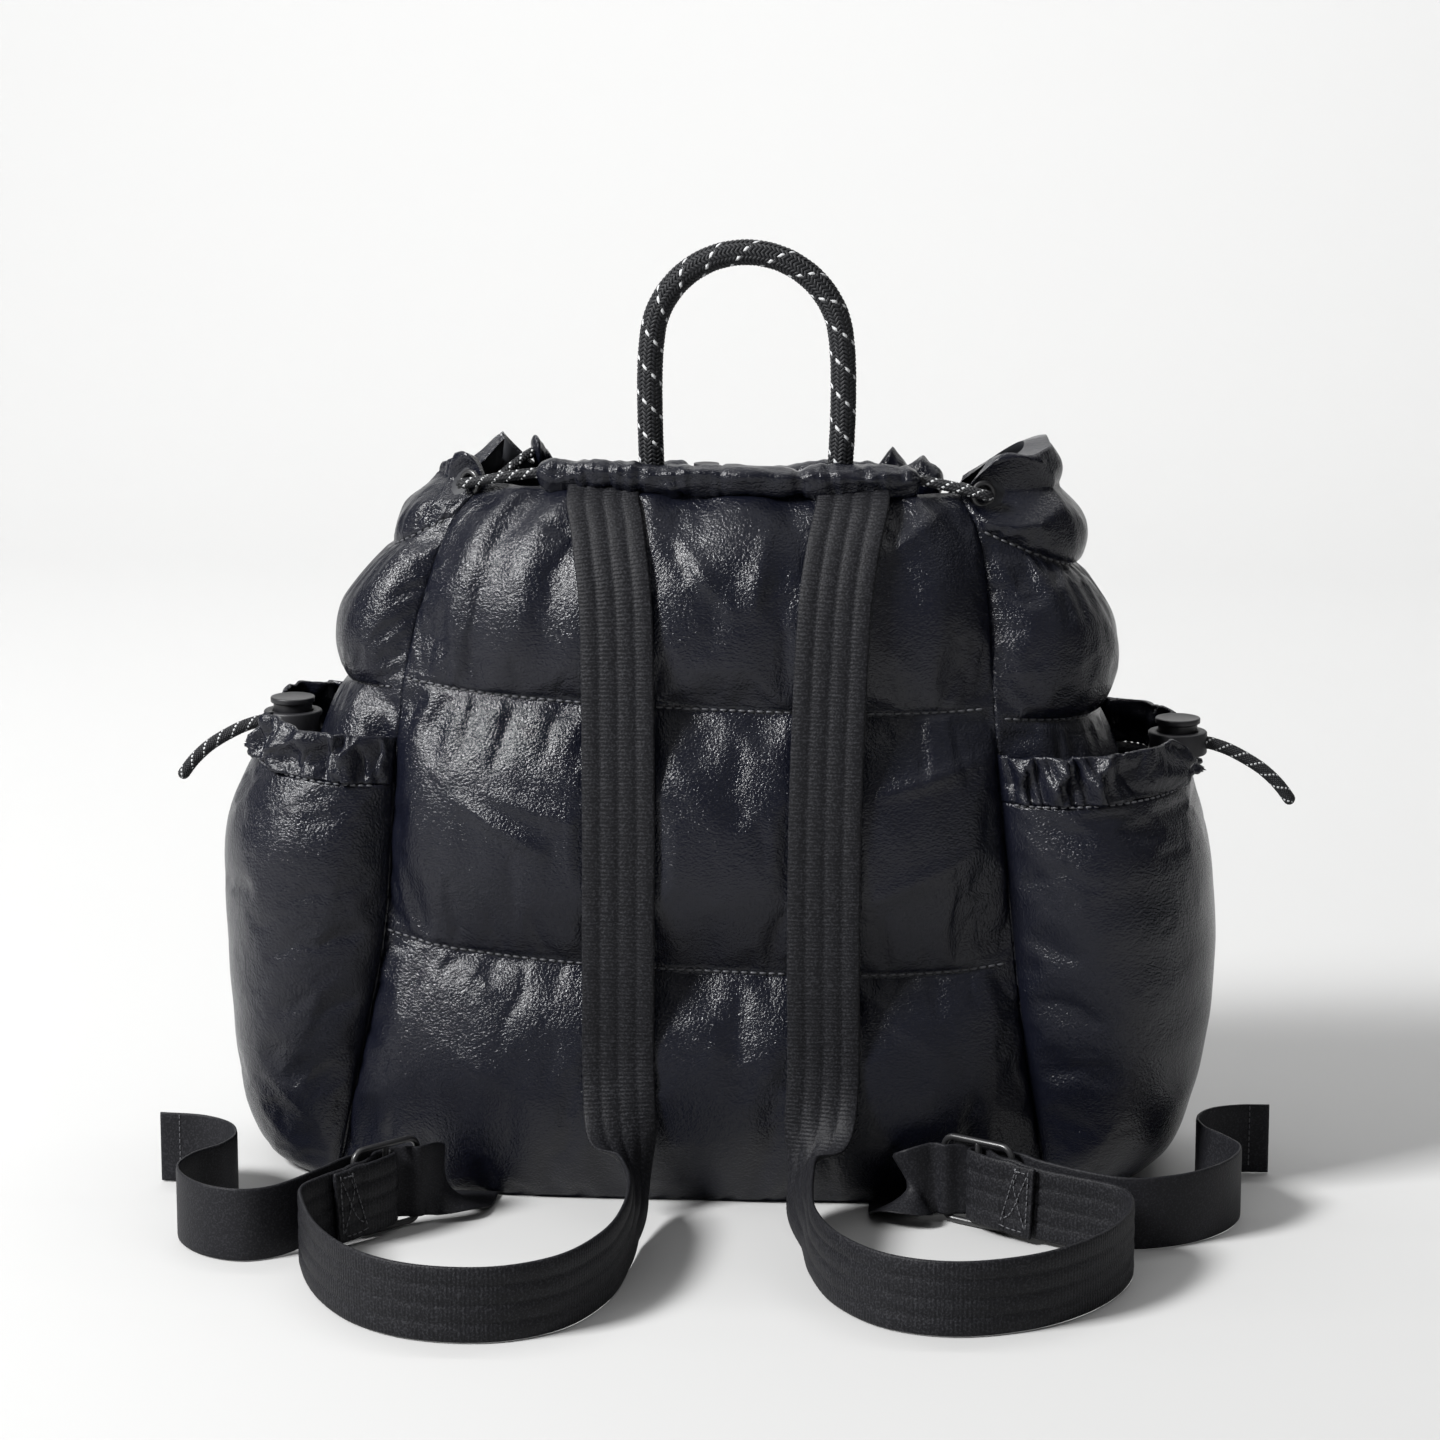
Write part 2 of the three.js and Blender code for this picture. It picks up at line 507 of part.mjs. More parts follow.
for (const lock of locks) {
  const { side, out, inset } = lock;
  const edge = ruffleTop(lock, 0.5);
  const ruffleEdge = panelPoint(panelSpans[side], 0.5, edge / bodyHeight, pocketStand(side, 0.5, edge));
  const [lockX, lockY] = [ruffleEdge.x - out * inset, 0];
  const bottom = ruffleEdge.z + lockStand;
  const axisZ = bottom + lockHeight / 2;

  const body = new THREE.LatheGeometry([
    [0, 0], [lockDiameter / 2 - 1.5, 0], [lockDiameter / 2, 1.5], [lockDiameter / 2, lockHeight - 2.5],
    [lockDiameter / 2 - 2.5, lockHeight], [0, lockHeight],
  ].map(([r, h]) => new THREE.Vector2(r, h)), 16).rotateX(Math.PI / 2).translate(lockX, lockY, bottom);
  const well = new THREE.CylinderGeometry(stemDiameter / 2 + gap, stemDiameter / 2 + gap, lockHeight, 16)
    .rotateX(Math.PI / 2).translate(lockX, lockY, bottom + lockHeight / 2 + lockFloor);
  const passage = new THREE.BoxGeometry(lockDiameter + 4, cordHoleWidth, cordHoleHeight).translate(lockX, lockY, axisZ);
  add(`${side}_lock_body`, fromSolid(toSolid(body).subtract(toSolid(well)).subtract(toSolid(passage))), plasticColour, 0.35);

  // Button: a disc on a stem whose slot leaves room for the cord over the whole press.
  const capBottom = bottom + lockHeight + buttonTravel + gap;
  const stemBottom = bottom + lockFloor + buttonTravel + gap;
  const stem = new THREE.CylinderGeometry(stemDiameter / 2, stemDiameter / 2, capBottom + 0.5 - stemBottom, 16)
    .rotateX(Math.PI / 2).translate(lockX, lockY, (capBottom + 0.5 + stemBottom) / 2);
  const cap = new THREE.LatheGeometry([
    [0, 0], [buttonDiameter / 2 - 0.6, 0], [buttonDiameter / 2, 0.6], [buttonDiameter / 2, buttonHeight - 0.9],
    [buttonDiameter / 2 - 0.9, buttonHeight], [0, buttonHeight - 0.3],
  ].map(([r, h]) => new THREE.Vector2(r, h)), 16).rotateX(Math.PI / 2).translate(lockX, lockY, capBottom);
  const slotHeight = cordHoleHeight + buttonTravel;
  const slot = new THREE.BoxGeometry(lockDiameter, cordHoleWidth, slotHeight)
    .translate(lockX, lockY, axisZ - cordHoleHeight / 2 + slotHeight / 2);
  add(`${side}_lock_button`, fromSolid(toSolid(stem).add(toSolid(cap)).subtract(toSolid(slot))), plasticColour, 0.25);

  const inner = [1 - lockDiameter / 2, 0].map((reach) => ({ reach, fall: 0, sweep: 0 }));
  const route = [...inner, ...cordTail].map(({ reach, fall, sweep }) => new THREE.Vector3(
    lockX + out * reach, lockY + sweep, axisZ - fall,
  ));
  add(`${side}_pocket_cord`, cordGeometry(route, pocketCordWidth, pocketCordThickness, 8, 14), cordColour, 0.8);
}

// Handle: an arch of rope whose legs stand inside the back rim.
const legHalf = handleSpan / 2;
const legY = panelPoint(panelSpans.back, 0.5, 1, -clothWall - padDepth * 0.2).y + handleDiameter / 2 + 5;
const archBase = bodyHeight + handleRise - legHalf;
const handlePoints = [
  new THREE.Vector3(handleOffset - legHalf + 2, legY, bodyHeight - handleTuck),
  new THREE.Vector3(handleOffset - legHalf, legY, bodyHeight + 12),
];
for (let i = 0; i <= 8; i += 1) {
  const angle = Math.PI - (Math.PI * i) / 8;
  handlePoints.push(new THREE.Vector3(
    handleOffset + legHalf * Math.cos(angle), legY, archBase + legHalf * Math.sin(angle),
  ));
}
handlePoints.push(new THREE.Vector3(handleOffset + legHalf - 0.5, legY, bodyHeight + 12));
handlePoints.push(new THREE.Vector3(handleOffset + legHalf - 4, legY, bodyHeight - handleTuck));
add('top_handle', cordGeometry(handlePoints, handleDiameter, handleDiameter, 10, 22), cordColour, 0.8);

// Webbing: a ribbon along a spline, its width turned with the rows' across direction.
function ribbon(rows, width, thickness, steps) {
  const path = new THREE.CatmullRomCurve3(rows.map((row) => row.at), false, 'centripetal');
  const count = rows.length - 1;
  const frames = [];
  for (let i = 0; i <= steps; i += 1) {
    const t = i / steps;
    const point = path.getPoint(t);
    const tangent = path.getTangent(t);
    const k = Math.min(count - 1, Math.floor(t * count));
    const across = rows[k].across.clone().lerp(rows[k + 1].across, t * count - k);
    across.addScaledVector(tangent, -across.dot(tangent)).normalize();
    frames.push({ point, across, normal: new THREE.Vector3().crossVectors(tangent, across).normalize() });
  }
  const face = (sign) => (u, v) => {
    const { point, across, normal } = frames[Math.round(v * steps)];
    return point.clone().addScaledVector(across, (u - 0.5) * width).addScaledVector(normal, (sign * thickness) / 2);
  };
  return slab(face(1), face(-1), 1, steps);
}

const level = new THREE.Vector3(1, 0, 0);
const onEdge = new THREE.Vector3(0, 0, -1);
const edgeHeight = strapWidth / 2 + gap;        // middle of webbing that stands on the surface
const sliderLift = sliderWire + 2 * gap;        // webbing is raised where it goes through a slider

// The straps' plans below measure y from this line, the foot of the back panel.
const footLine = -bodyHalfDepth;
const onPlan = ({ x, y, z = edgeHeight }) => new THREE.Vector3(x, footLine + y, z);

// A slider's plan: its middle, the way the webbing runs outwards through it, and the loop's side.
const sliders = {
  left: { at: new THREE.Vector2(-124, footLine - 45), run: 227, turn: 1 },
  right: { at: new THREE.Vector2(118, footLine - 24), run: -33, turn: -1 },
};

function atSlider(side, run, out, height = edgeHeight + sliderLift) {
  const { at, run: degrees, turn } = sliders[side];
  const angle = THREE.MathUtils.degToRad(degrees);
  const x = at.x + run * Math.cos(angle) - turn * out * Math.sin(angle);
  const y = at.y + run * Math.sin(angle) + turn * out * Math.cos(angle);
  return new THREE.Vector3(x, y, height);
}

// How the strap hangs on the back panel: it bridges the quilting seams from crest to crest.
function onPanel(x, rise) {
  const { halfWidth, halfDepth, square } = sectionAt(rise);
  const local = (x - lean * rise * rise) / halfWidth;
  const topSeam = panelSeams.at(-2).rise;
  const crest = puff * dome(Math.max(0.5, (rise - topSeam) / (1 - topSeam)), 0.65);
  const fold = gatherDepth * clamp01((rise - topSeam) / (1 - topSeam));
  const y = -halfDepth * (1 - Math.abs(local) ** square) ** (1 / square) - crest - fold;
  return new THREE.Vector3(x, y - strapThickness / 2 - strapEase, rise * bodyHeight);
}

// Plan of each strap's loop on the surface, from the foot of the panel to the sewn end.
const loopPlans = {
  left: [
    { x: -21, y: -61, z: 17 }, { x: -21, y: -92, z: 15.3 }, { x: -26, y: -130, z: 15.3 }, { x: -40, y: -161, z: 15.3 },
    { x: -60, y: -176, z: 15.3 }, { x: -80, y: -179, z: 15.3 }, { x: -101, y: -174, z: 15.3 }, { x: -121, y: -159, z: 15.3 },
    { x: -138, y: -133, z: 15.3 }, { x: -149, y: -103, z: 15.8 }, { x: -152, y: -85, z: 16.5 },
  ],
  right: [
    { x: 50, y: -65, z: 17 }, { x: 54, y: -95, z: 15.3 }, { x: 66, y: -129, z: 15.3 }, { x: 86, y: -152, z: 15.3 },
    { x: 111, y: -159, z: 15.3 }, { x: 140, y: -149, z: 15.3 }, { x: 162, y: -128, z: 15.3 }, { x: 176, y: -101, z: 15.3 },
    { x: 180, y: -79, z: 15.8 }, { x: 176, y: -65, z: 16.5 },
  ],
};

const strapTops = {
  left: [
    { x: -40, rise: 0.99 }, { x: -38, rise: 0.965 }, { x: -36, rise: 0.93 }, { x: -33, rise: 0.86 },
    { x: -31, rise: 0.6 }, { x: -31, rise: 0.36 }, { x: -31, rise: 0.19 },
  ],
  right: [
    { x: 63, rise: 0.99 }, { x: 61.5, rise: 0.965 }, { x: 59.5, rise: 0.93 }, { x: 57, rise: 0.86 },
    { x: 54, rise: 0.6 }, { x: 53.5, rise: 0.36 }, { x: 53.5, rise: 0.19 },
  ],
};

// Tail webbing from the bottom seam up on its edge, before the slider.
const tailAnchors = {
  left: [{ x: -99, y: 5, z: 1.3 }, { x: -99, y: -6, z: 2 }, { x: -100, y: -15.5, z: 7.5 }, { x: -104, y: -25, z: 16 }],
  right: [{ x: 87.5, y: 3.7, z: 1.3 }, { x: 87.5, y: -5, z: 2 }, { x: 87.5, y: -13, z: 7.5 }, { x: 91, y: -18.5, z: 16 }],
};

// Tail webbing beyond the slider, to its hemmed end.
const tailPlans = {
  left: [
    { x: -164, y: -82 }, { x: -176, y: -88 }, { x: -190, y: -84 }, { x: -202, y: -72 }, { x: -208, y: -56 },
    { x: -204, y: -39 }, { x: -195, y: -26 }, { x: -192, y: -12 }, { x: -197, y: 3 }, { x: -210, y: 13 }, { x: -229, y: 16 },
  ],
  right: [
    { x: 178, y: -48 }, { x: 196, y: -44 }, { x: 211, y: -33 }, { x: 222, y: -17 }, { x: 226, y: 0 },
    { x: 220, y: 14 }, { x: 212, y: 27 }, { x: 210, y: 41 }, { x: 216, y: 53 }, { x: 228, y: 59 }, { x: 241, y: 60 },
  ],
};

for (const side of ['left', 'right']) {
  const hand = side === 'left' ? 1 : -1;
  const across = (x, y, z) => new THREE.Vector3(hand * x, y, z).normalize();
  const wrap = sliderWire / 2 + strapThickness / 2 + 3 * gap;   // turn of the strap round the middle bar
  const layer = strapThickness + 2 * gap;
  const bar = sliderLength / 2;
  const foot = onPanel(strapTops[side].at(-1).x, strapTops[side].at(-1).rise);
  const loopStart = loopPlans[side][0];
  const strapRows = [
    ...strapTops[side].map(({ x, rise }) => ({ at: onPanel(x, rise), across: across(1, 0, 0) })),
    { at: new THREE.Vector3(foot.x + hand * 2, foot.y - 7, 34), across: across(0.86, 0.1, -0.5) },
    { at: new THREE.Vector3(foot.x + hand * 7, foot.y - 20, 22), across: across(0.45, 0.1, -0.9) },
    { at: onPlan(loopStart), across: across(0.1, 0, -1) },
    ...loopPlans[side].slice(1).map((row) => ({ at: onPlan(row), across: onEdge })),
    ...[
      [foldBack + 4, wrap, -1.6], [foldBack - 10, wrap, -0.6], [bar + 1, wrap, 0], [bar - 3.3, wrap + 0.2, 0],
      [7, -0.2, 0], [3.4, -wrap * 0.85, 0], [0, -wrap, 0], [-wrap * 0.76, -wrap * 0.7, 0], [-wrap - 0.1, 0, 0],
      [-wrap * 0.76, wrap * 0.7, 0], [0, wrap + 0.2, 0], [5, wrap + 1.7, 0], [bar - 3.3, wrap + layer + 0.4, 0],
      [bar + 1, wrap + layer, 0], [foldBack - 10, wrap + layer, -0.6], [foldBack, wrap + layer, -1.2],
    ].map(([run, out, drop]) => ({ at: atSlider(side, run, out, edgeHeight + sliderLift + drop), across: onEdge })),
  ];
  add(`${side}_shoulder_strap`, ribbon(strapRows, strapWidth, strapThickness, 2 * (strapRows.length - 1)), webbingColour, 0.85);

  const behind = -(wrap + strapThickness / 2 + tailThickness / 2 + 2 * gap);
  const before = sliderWire / 2 + tailThickness / 2 + gap;
  const turns = [across(1, 0, 0), across(1, 0, -0.05), across(0.8, -0.1, -0.45), across(0.15, -0.1, -1)];
  const tailRows = [
    ...tailAnchors[side].map((row, i) => ({ at: onPlan(row), across: turns[i] })),
    ...[
      [-bar - 1, before + 0.6, 0], [-bar + 3.3, before + 0.6, 0], [-bar + 8, -1.6, 0], [-3.5, behind * 0.84, 0],
      [0, behind, 0], [bar, behind + 0.6, 0], [foldBack - 6, behind + 1, -0.9],
    ].map(([run, out, drop]) => ({ at: atSlider(side, run, out, edgeHeight + sliderLift + drop), across: onEdge })),
    ...tailPlans[side].map((row) => ({ at: onPlan(row), across: onEdge })),
  ];
  add(`${side}_tail_webbing`, ribbon(tailRows, strapWidth, tailThickness, 2 * (tailRows.length - 1)), webbingColour, 0.8);

  // Slider: a rounded frame with a middle bar, standing on its short side.
  const rounded = (path, x0, y0, x1, y1, r) => {
    path.moveTo(x0 + r, y0);
    path.lineTo(x1 - r, y0);
    path.quadraticCurveTo(x1, y0, x1, y0 + r);
    path.lineTo(x1, y1 - r);
    path.quadraticCurveTo(x1, y1, x1 - r, y1);
    path.lineTo(x0 + r, y1);
    path.quadraticCurveTo(x0, y1, x0, y1 - r);
    path.lineTo(x0, y0 + r);
    path.quadraticCurveTo(x0, y0, x0 + r, y0);
    return path;
  };
  const frame = rounded(new THREE.Shape(), -bar, 0, bar, sliderRise, 5);
  const [lowBar, highBar] = [sliderWire, sliderRise - sliderWire];
  frame.holes.push(rounded(new THREE.Path(), -bar + sliderWire, lowBar, -sliderWire / 2, highBar, 2));
  frame.holes.push(rounded(new THREE.Path(), sliderWire / 2, lowBar, bar - sliderWire, highBar, 2));
  const plate = new THREE.ExtrudeGeometry(frame, { depth: sliderWire, bevelEnabled: false, curveSegments: 4 })
    .translate(0, 0, -sliderWire / 2).rotateX(Math.PI / 2);
  const { at, run } = sliders[side];
  plate.rotateZ(THREE.MathUtils.degToRad(run)).translate(at.x, at.y, gap);
  add(`${side}_strap_slider`, plate, metalColour, 0.35, 1);
}

export default backpack;
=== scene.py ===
import math

import bmesh
import bpy
import numpy as np
from mathutils import Matrix, Vector


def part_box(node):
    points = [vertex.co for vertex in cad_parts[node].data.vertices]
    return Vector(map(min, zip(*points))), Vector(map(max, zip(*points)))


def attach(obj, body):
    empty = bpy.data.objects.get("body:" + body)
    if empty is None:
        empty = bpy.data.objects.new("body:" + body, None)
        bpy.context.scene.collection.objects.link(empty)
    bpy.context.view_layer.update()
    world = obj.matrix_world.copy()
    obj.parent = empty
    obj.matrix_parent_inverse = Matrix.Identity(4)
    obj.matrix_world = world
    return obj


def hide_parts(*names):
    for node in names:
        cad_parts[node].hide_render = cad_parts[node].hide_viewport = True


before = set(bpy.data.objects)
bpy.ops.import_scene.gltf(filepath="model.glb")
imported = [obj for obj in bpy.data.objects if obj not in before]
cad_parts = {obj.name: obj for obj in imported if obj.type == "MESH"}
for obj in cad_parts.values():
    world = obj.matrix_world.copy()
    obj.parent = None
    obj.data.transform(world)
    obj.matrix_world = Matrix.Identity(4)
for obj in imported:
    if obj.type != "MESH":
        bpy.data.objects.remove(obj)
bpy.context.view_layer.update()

scene = bpy.context.scene

# Shape of the bag, in millimetres, as the solids have it
bag = {
    "height": 296, "halfWidth": 178, "halfDepth": 73,
    "lean": 13,          # sideways slump of the rim
    "droop": 0.034,      # fall of the quilting rows across the slump
    "puff": 13,          # how far a quilted row stands out
    "wall": 2.2, "fill": 7,
    "seamGap": -0.4,
}
# rise, width, depth, squareness, seam, creep of the seams
bodySections = [
    (0.00, 1.00, 0.93, 3.0, 0.85, 0.02), (0.18, 0.965, 0.97, 2.9, 0.82, 0.015),
    (0.35, 0.93, 0.97, 2.8, 0.80, 0.01),
    (0.55, 0.905, 0.94, 2.7, 0.79, 0.03), (0.72, 0.87, 0.87, 2.6, 0.795, 0.05),
    (0.88, 0.81, 0.74, 2.4, 0.80, 0.05),
    (0.95, 0.755, 0.65, 2.3, 0.81, 0.05), (1.00, 0.675, 0.58, 2.2, 0.82, 0.045),
]
panelSeams = [(0, 0), (0.362, 0.022), (0.72, 0.012), (1, 0)]
gussetSeams = [(0, 0), (0.362, 0.01), (0.705, 0.01), (0.955, 0.06), (1, 0)]
gussetRims = {
    "left": [(0, 0.995), (0.06, 1.022), (0.14, 1.04), (0.26, 1.036), (0.42, 1.022), (0.7, 1.008),
             (0.86, 1.02), (1, 1.05)],
    "right": [(0, 0.995), (0.06, 1.022), (0.14, 1.055), (0.26, 1.052), (0.42, 1.06), (0.6, 1.066),
              (0.8, 1.045), (1, 0.995)],
}


def between(rows, column, at):
    table = np.array(rows, float)
    keys, values = table[:, 0], table[:, column]
    at = np.asarray(at, float)
    last = len(keys) - 1
    i = np.clip(np.searchsorted(keys, at, side="right") - 1, 0, last - 1)
    before, after = np.maximum(i - 1, 0), np.minimum(i + 2, last)
    span = keys[i + 1] - keys[i]
    t = np.clip((at - keys[i]) / span, 0, 1)
    slopeA = (values[i + 1] - values[before]) / (keys[i + 1] - keys[before]) * span
    slopeB = (values[after] - values[i]) / (keys[after] - keys[i]) * span
    return ((2 * t**3 - 3 * t**2 + 1) * values[i] + (t**3 - 2 * t**2 + t) * slopeA
            + (3 * t**2 - 2 * t**3) * values[i + 1] + (t**3 - t**2) * slopeB)


def bodyPoint(angle, rise, out):
    at = np.clip(rise, 0, 1)
    halfWidth = bag["halfWidth"] * between(bodySections, 1, at)
    halfDepth = bag["halfDepth"] * between(bodySections, 2, at)
    square = between(bodySections, 3, at)
    c, s = np.cos(angle), np.sin(angle)
    x = halfWidth * np.sign(c) * np.abs(c) ** (2 / square)
    y = halfDepth * np.sign(s) * np.abs(s) ** (2 / square)
    slopeX = np.sign(x) * (np.abs(x) / halfWidth) ** (square - 1) / halfWidth
    slopeY = np.sign(y) * (np.abs(y) / halfDepth) ** (square - 1) / halfDepth
    length = np.hypot(slopeX, slopeY)
    return np.stack([x + out * slopeX / length, y + out * slopeY / length, rise * bag["height"] + 0 * x], -1)


def spanOf(side, rise):
    at = np.clip(rise, 0, 1)
    square, seam, shift = (between(bodySections, k, at) for k in (3, 4, 5))
    right, left = np.arccos((seam - shift) ** (square / 2)), np.arccos((seam + shift) ** (square / 2))
    return {"back": (-np.pi + left, np.pi - left - right), "right": (-right, 2 * right),
            "front": (right, np.pi - left - right), "left": (np.pi - left, 2 * left)}[side]


def slump(points):
    rise = points[..., 2] / bag["height"]
    settling = np.minimum(1, np.maximum(0, rise) / 0.3)
    levelling = 1 - 0.75 * np.clip((rise - 0.75) / 0.25, 0, 1)
    fall = bag["droop"] * settling * levelling
    return np.stack([points[..., 0] + bag["lean"] * rise * np.abs(rise), points[..., 1],
                     points[..., 2] - fall * points[..., 0]], -1)


def panelPoint(side, along, rise, out=0.0):
    along, rise, out = np.broadcast_arrays(*(np.asarray(value, float) for value in (along, rise, out)))
    start, turn = spanOf(side, rise)
    point = bodyPoint(start + turn * along, rise, out)
    ahead = (bodyPoint(start + turn * (along + 0.004), rise, out)
             - bodyPoint(start + turn * (along - 0.004), rise, out))
    ahead /= np.linalg.norm(ahead, axis=-1, keepdims=True)
    shift = np.where(along < 0.001, 0.5, np.where(along > 0.999, -0.5, 0)) * bag["seamGap"]
    return slump(point + ahead * shift[..., None])


def dome(t, power=0.65):
    return np.maximum(0, np.sin(np.pi * np.clip(t, 0, 1))) ** power


def quiltRise(seams, rim, along, up):
    rows = len(seams) - 1
    row = np.minimum(rows - 1, np.floor(up * rows + 1e-9)).astype(int)
    table = np.array(seams, float)
    arch = 1 - (2 * along - 1) ** 2
    low = table[row, 0] - table[row, 1] * arch
    above = np.minimum(row + 1, rows)
    high = np.where(row == rows - 1, rim(along), table[above, 0] - table[above, 1] * arch)
    within = up * rows - row
    return low + (high - low) * within, row, within


def backRim(along):
    return 1 + 0 * np.asarray(along, float)


def frontRim(along):
    low, along = 1 - 12 / bag["height"], np.asarray(along, float)
    rightCorner = 0.03 * np.clip(1 - along / 0.1, 0, 1) ** 1.5
    leftCorner = 0.085 * np.clip((along - 0.74) / 0.26, 0, 1) ** 1.3
    return low + (0.965 - low) * (2 * along - 1) ** 4 + (rightCorner + leftCorner)


def gussetRimOf(side):
    if side == "right":
        return lambda along: between(gussetRims["right"], 1, along)
    return lambda along: between(gussetRims["left"], 1, 1 - np.asarray(along, float))


# Mesh helpers
def newPiece(name, points, faces):
    mesh = bpy.data.meshes.new(name)
    corners = np.asarray(points, float).reshape(-1, 3) / 1000
    mesh.from_pydata(corners.tolist(), [], [tuple(f) for f in faces])
    mesh.update()
    piece = bpy.data.objects.new(name, mesh)
    scene.collection.objects.link(piece)
    mesh.polygons.foreach_set("use_smooth", [True] * len(mesh.polygons))
    return piece


def unpickAll():
    for other in list(bpy.context.selected_objects):
        other.select_set(False)


def pick(*pieces):
    unpickAll()
    for piece in pieces:
        piece.select_set(True)
    bpy.context.view_layer.objects.active = pieces[0]


def faceOutwards(piece):
    pick(piece)
    bpy.ops.object.mode_set(mode="EDIT")
    bpy.ops.mesh.select_all(action="SELECT")
    bpy.ops.mesh.normals_make_consistent(inside=False)
    bpy.ops.object.mode_set(mode="OBJECT")


def gridFaces(rows, columns, offset=0, flip=False):
    i = np.arange(rows * columns)
    a = offset + (i // columns) * (columns + 1) + i % columns
    quads = np.stack([a, a + 1, a + columns + 2, a + columns + 1], 1)
    return (quads[:, ::-1] if flip else quads).tolist()


def tubeFaces(start, rings, sides):
    # the walls between rings of corners, and both ends closed
    faces = []
    for r in range(rings - 1):
        for s in range(sides):
            a, b = start + r * sides + s, start + r * sides + (s + 1) % sides
            faces.append((a, b, b + sides, a + sides))
    faces.append(tuple(start + s for s in range(sides - 1, -1, -1)))
    faces.append(tuple(start + (rings - 1) * sides + s for s in range(sides)))
    return faces


def rimOf(rows, columns, offset=0):  # the border of a grid, once round
    low = [offset + c for c in range(columns)]
    right = [offset + r * (columns + 1) + columns for r in range(rows)]
    top = [offset + rows * (columns + 1) + c for c in range(columns, 0, -1)]
    left = [offset + r * (columns + 1) for r in range(rows, 0, -1)]
    return low + right + top + left


def closedSheet(name, face, back, stride, backMark=0):
    # a fine face and a coarse back, with their borders joined
    rows, columns = face.shape[0] - 1, face.shape[1] - 1
    backRows, backColumns = back.shape[0] - 1, back.shape[1] - 1
    count = face.shape[0] * face.shape[1]
    points = np.concatenate([face.reshape(-1, 3), back.reshape(-1, 3)])
    faces = gridFaces(rows, columns) + gridFaces(backRows, backColumns, count, True)
    outer, inner = rimOf(rows, columns), rimOf(backRows, backColumns, count)
    for k in range(len(inner)):
        nearOnes = [outer[(k * stride + j) % len(outer)] for j in range(stride + 1)]
        a, b = inner[k], inner[(k + 1) % len(inner)]
        half = stride // 2
        for j in range(stride):
            faces.append((nearOnes[j + 1], nearOnes[j], a if j < half else b))
        faces.append((nearOnes[half], a, b))
    piece = newPiece(name, points, faces)
    borders = len(inner) * (stride + 1)
    backs = backRows * backColumns
    piece.data.polygons.foreach_set("use_smooth", [True] * (len(faces) - borders) + [False] * borders)
    marks = [0] * (rows * columns) + [backMark] * backs + [0] * borders
    return piece, marks


def throughPoints(points, t):
    # a spline through points, each stretch taking an equal share of t
    p = np.asarray(points, float)
    p = np.concatenate([[2 * p[0] - p[1]], p, [2 * p[-1] - p[-2]]])
    stretches = len(p) - 3
    at = np.clip(np.asarray(t, float) * stretches, 0, stretches)
    i = np.minimum(at.astype(int), stretches - 1)
    w = (at - i)[:, None]
    a, b, c, d = p[i], p[i + 1], p[i + 2], p[i + 3]
    gaps = [np.maximum(np.sum((v - u) ** 2, 1) ** 0.25, 1e-4)[:, None] for u, v in ((a, b), (b, c), (c, d))]
    slopeB = ((b - a) / gaps[0] - (c - a) / (gaps[0] + gaps[1]) + (c - b) / gaps[1]) * gaps[1]
    slopeC = ((c - b) / gaps[1] - (d - b) / (gaps[1] + gaps[2]) + (d - c) / gaps[2]) * gaps[1]
    squared = -3 * b + 3 * c - 2 * slopeB - slopeC
    cubed = 2 * b - 2 * c + slopeB + slopeC
    return b + slopeB * w + squared * w**2 + cubed * w**3


def evenly(line, step):
    # the same line in equal steps, with its length
    line = np.asarray(line, float)
    run = np.concatenate([[0], np.cumsum(np.linalg.norm(np.diff(line, axis=0), axis=1))])
    count = max(2, int(round(run[-1] / step)))
    at = np.linspace(0, run[-1], count + 1)
    return np.stack([np.interp(at, run, line[:, k]) for k in range(3)], 1), at, run[-1]


def framesAlong(line):
    # directions across a line that never spin round it
    ahead = np.gradient(line, axis=0)
    ahead /= np.linalg.norm(ahead, axis=1, keepdims=True)
    up = np.array([0.0, 0.0, 1.0]) if abs(ahead[0][2]) < 0.9 else np.array([0.0, 1.0, 0.0])
    side = np.cross(up, ahead[0])
    sides = []
    for d in ahead:
        side = side - d * np.dot(side, d)
        side /= np.linalg.norm(side)
        sides.append(side.copy())
    sides = np.array(sides)
    return sides, np.cross(ahead, sides)


# Camera, at the photograph's angle
cameraPlan = {"place": (0.1360, -1.8731, 0.579), "turn": 4.0, "down": 11.65, "lens": 112.5}
cameraData = bpy.data.cameras.new("camera")
cameraData.lens, cameraData.sensor_width = cameraPlan["lens"], 36
cameraData.clip_end = 20
camera = bpy.data.objects.new("camera", cameraData)
scene.collection.objects.link(camera)
turn, down = math.radians(cameraPlan["turn"]), math.radians(cameraPlan["down"])
looking = Vector((-math.sin(turn) * math.cos(down), math.cos(turn) * math.cos(down), -math.sin(down)))
camera.location = cameraPlan["place"]
camera.rotation_mode = "QUATERNION"
camera.rotation_quaternion = looking.to_track_quat("-Z", "Y")
scene.camera = camera
print("camera ready")


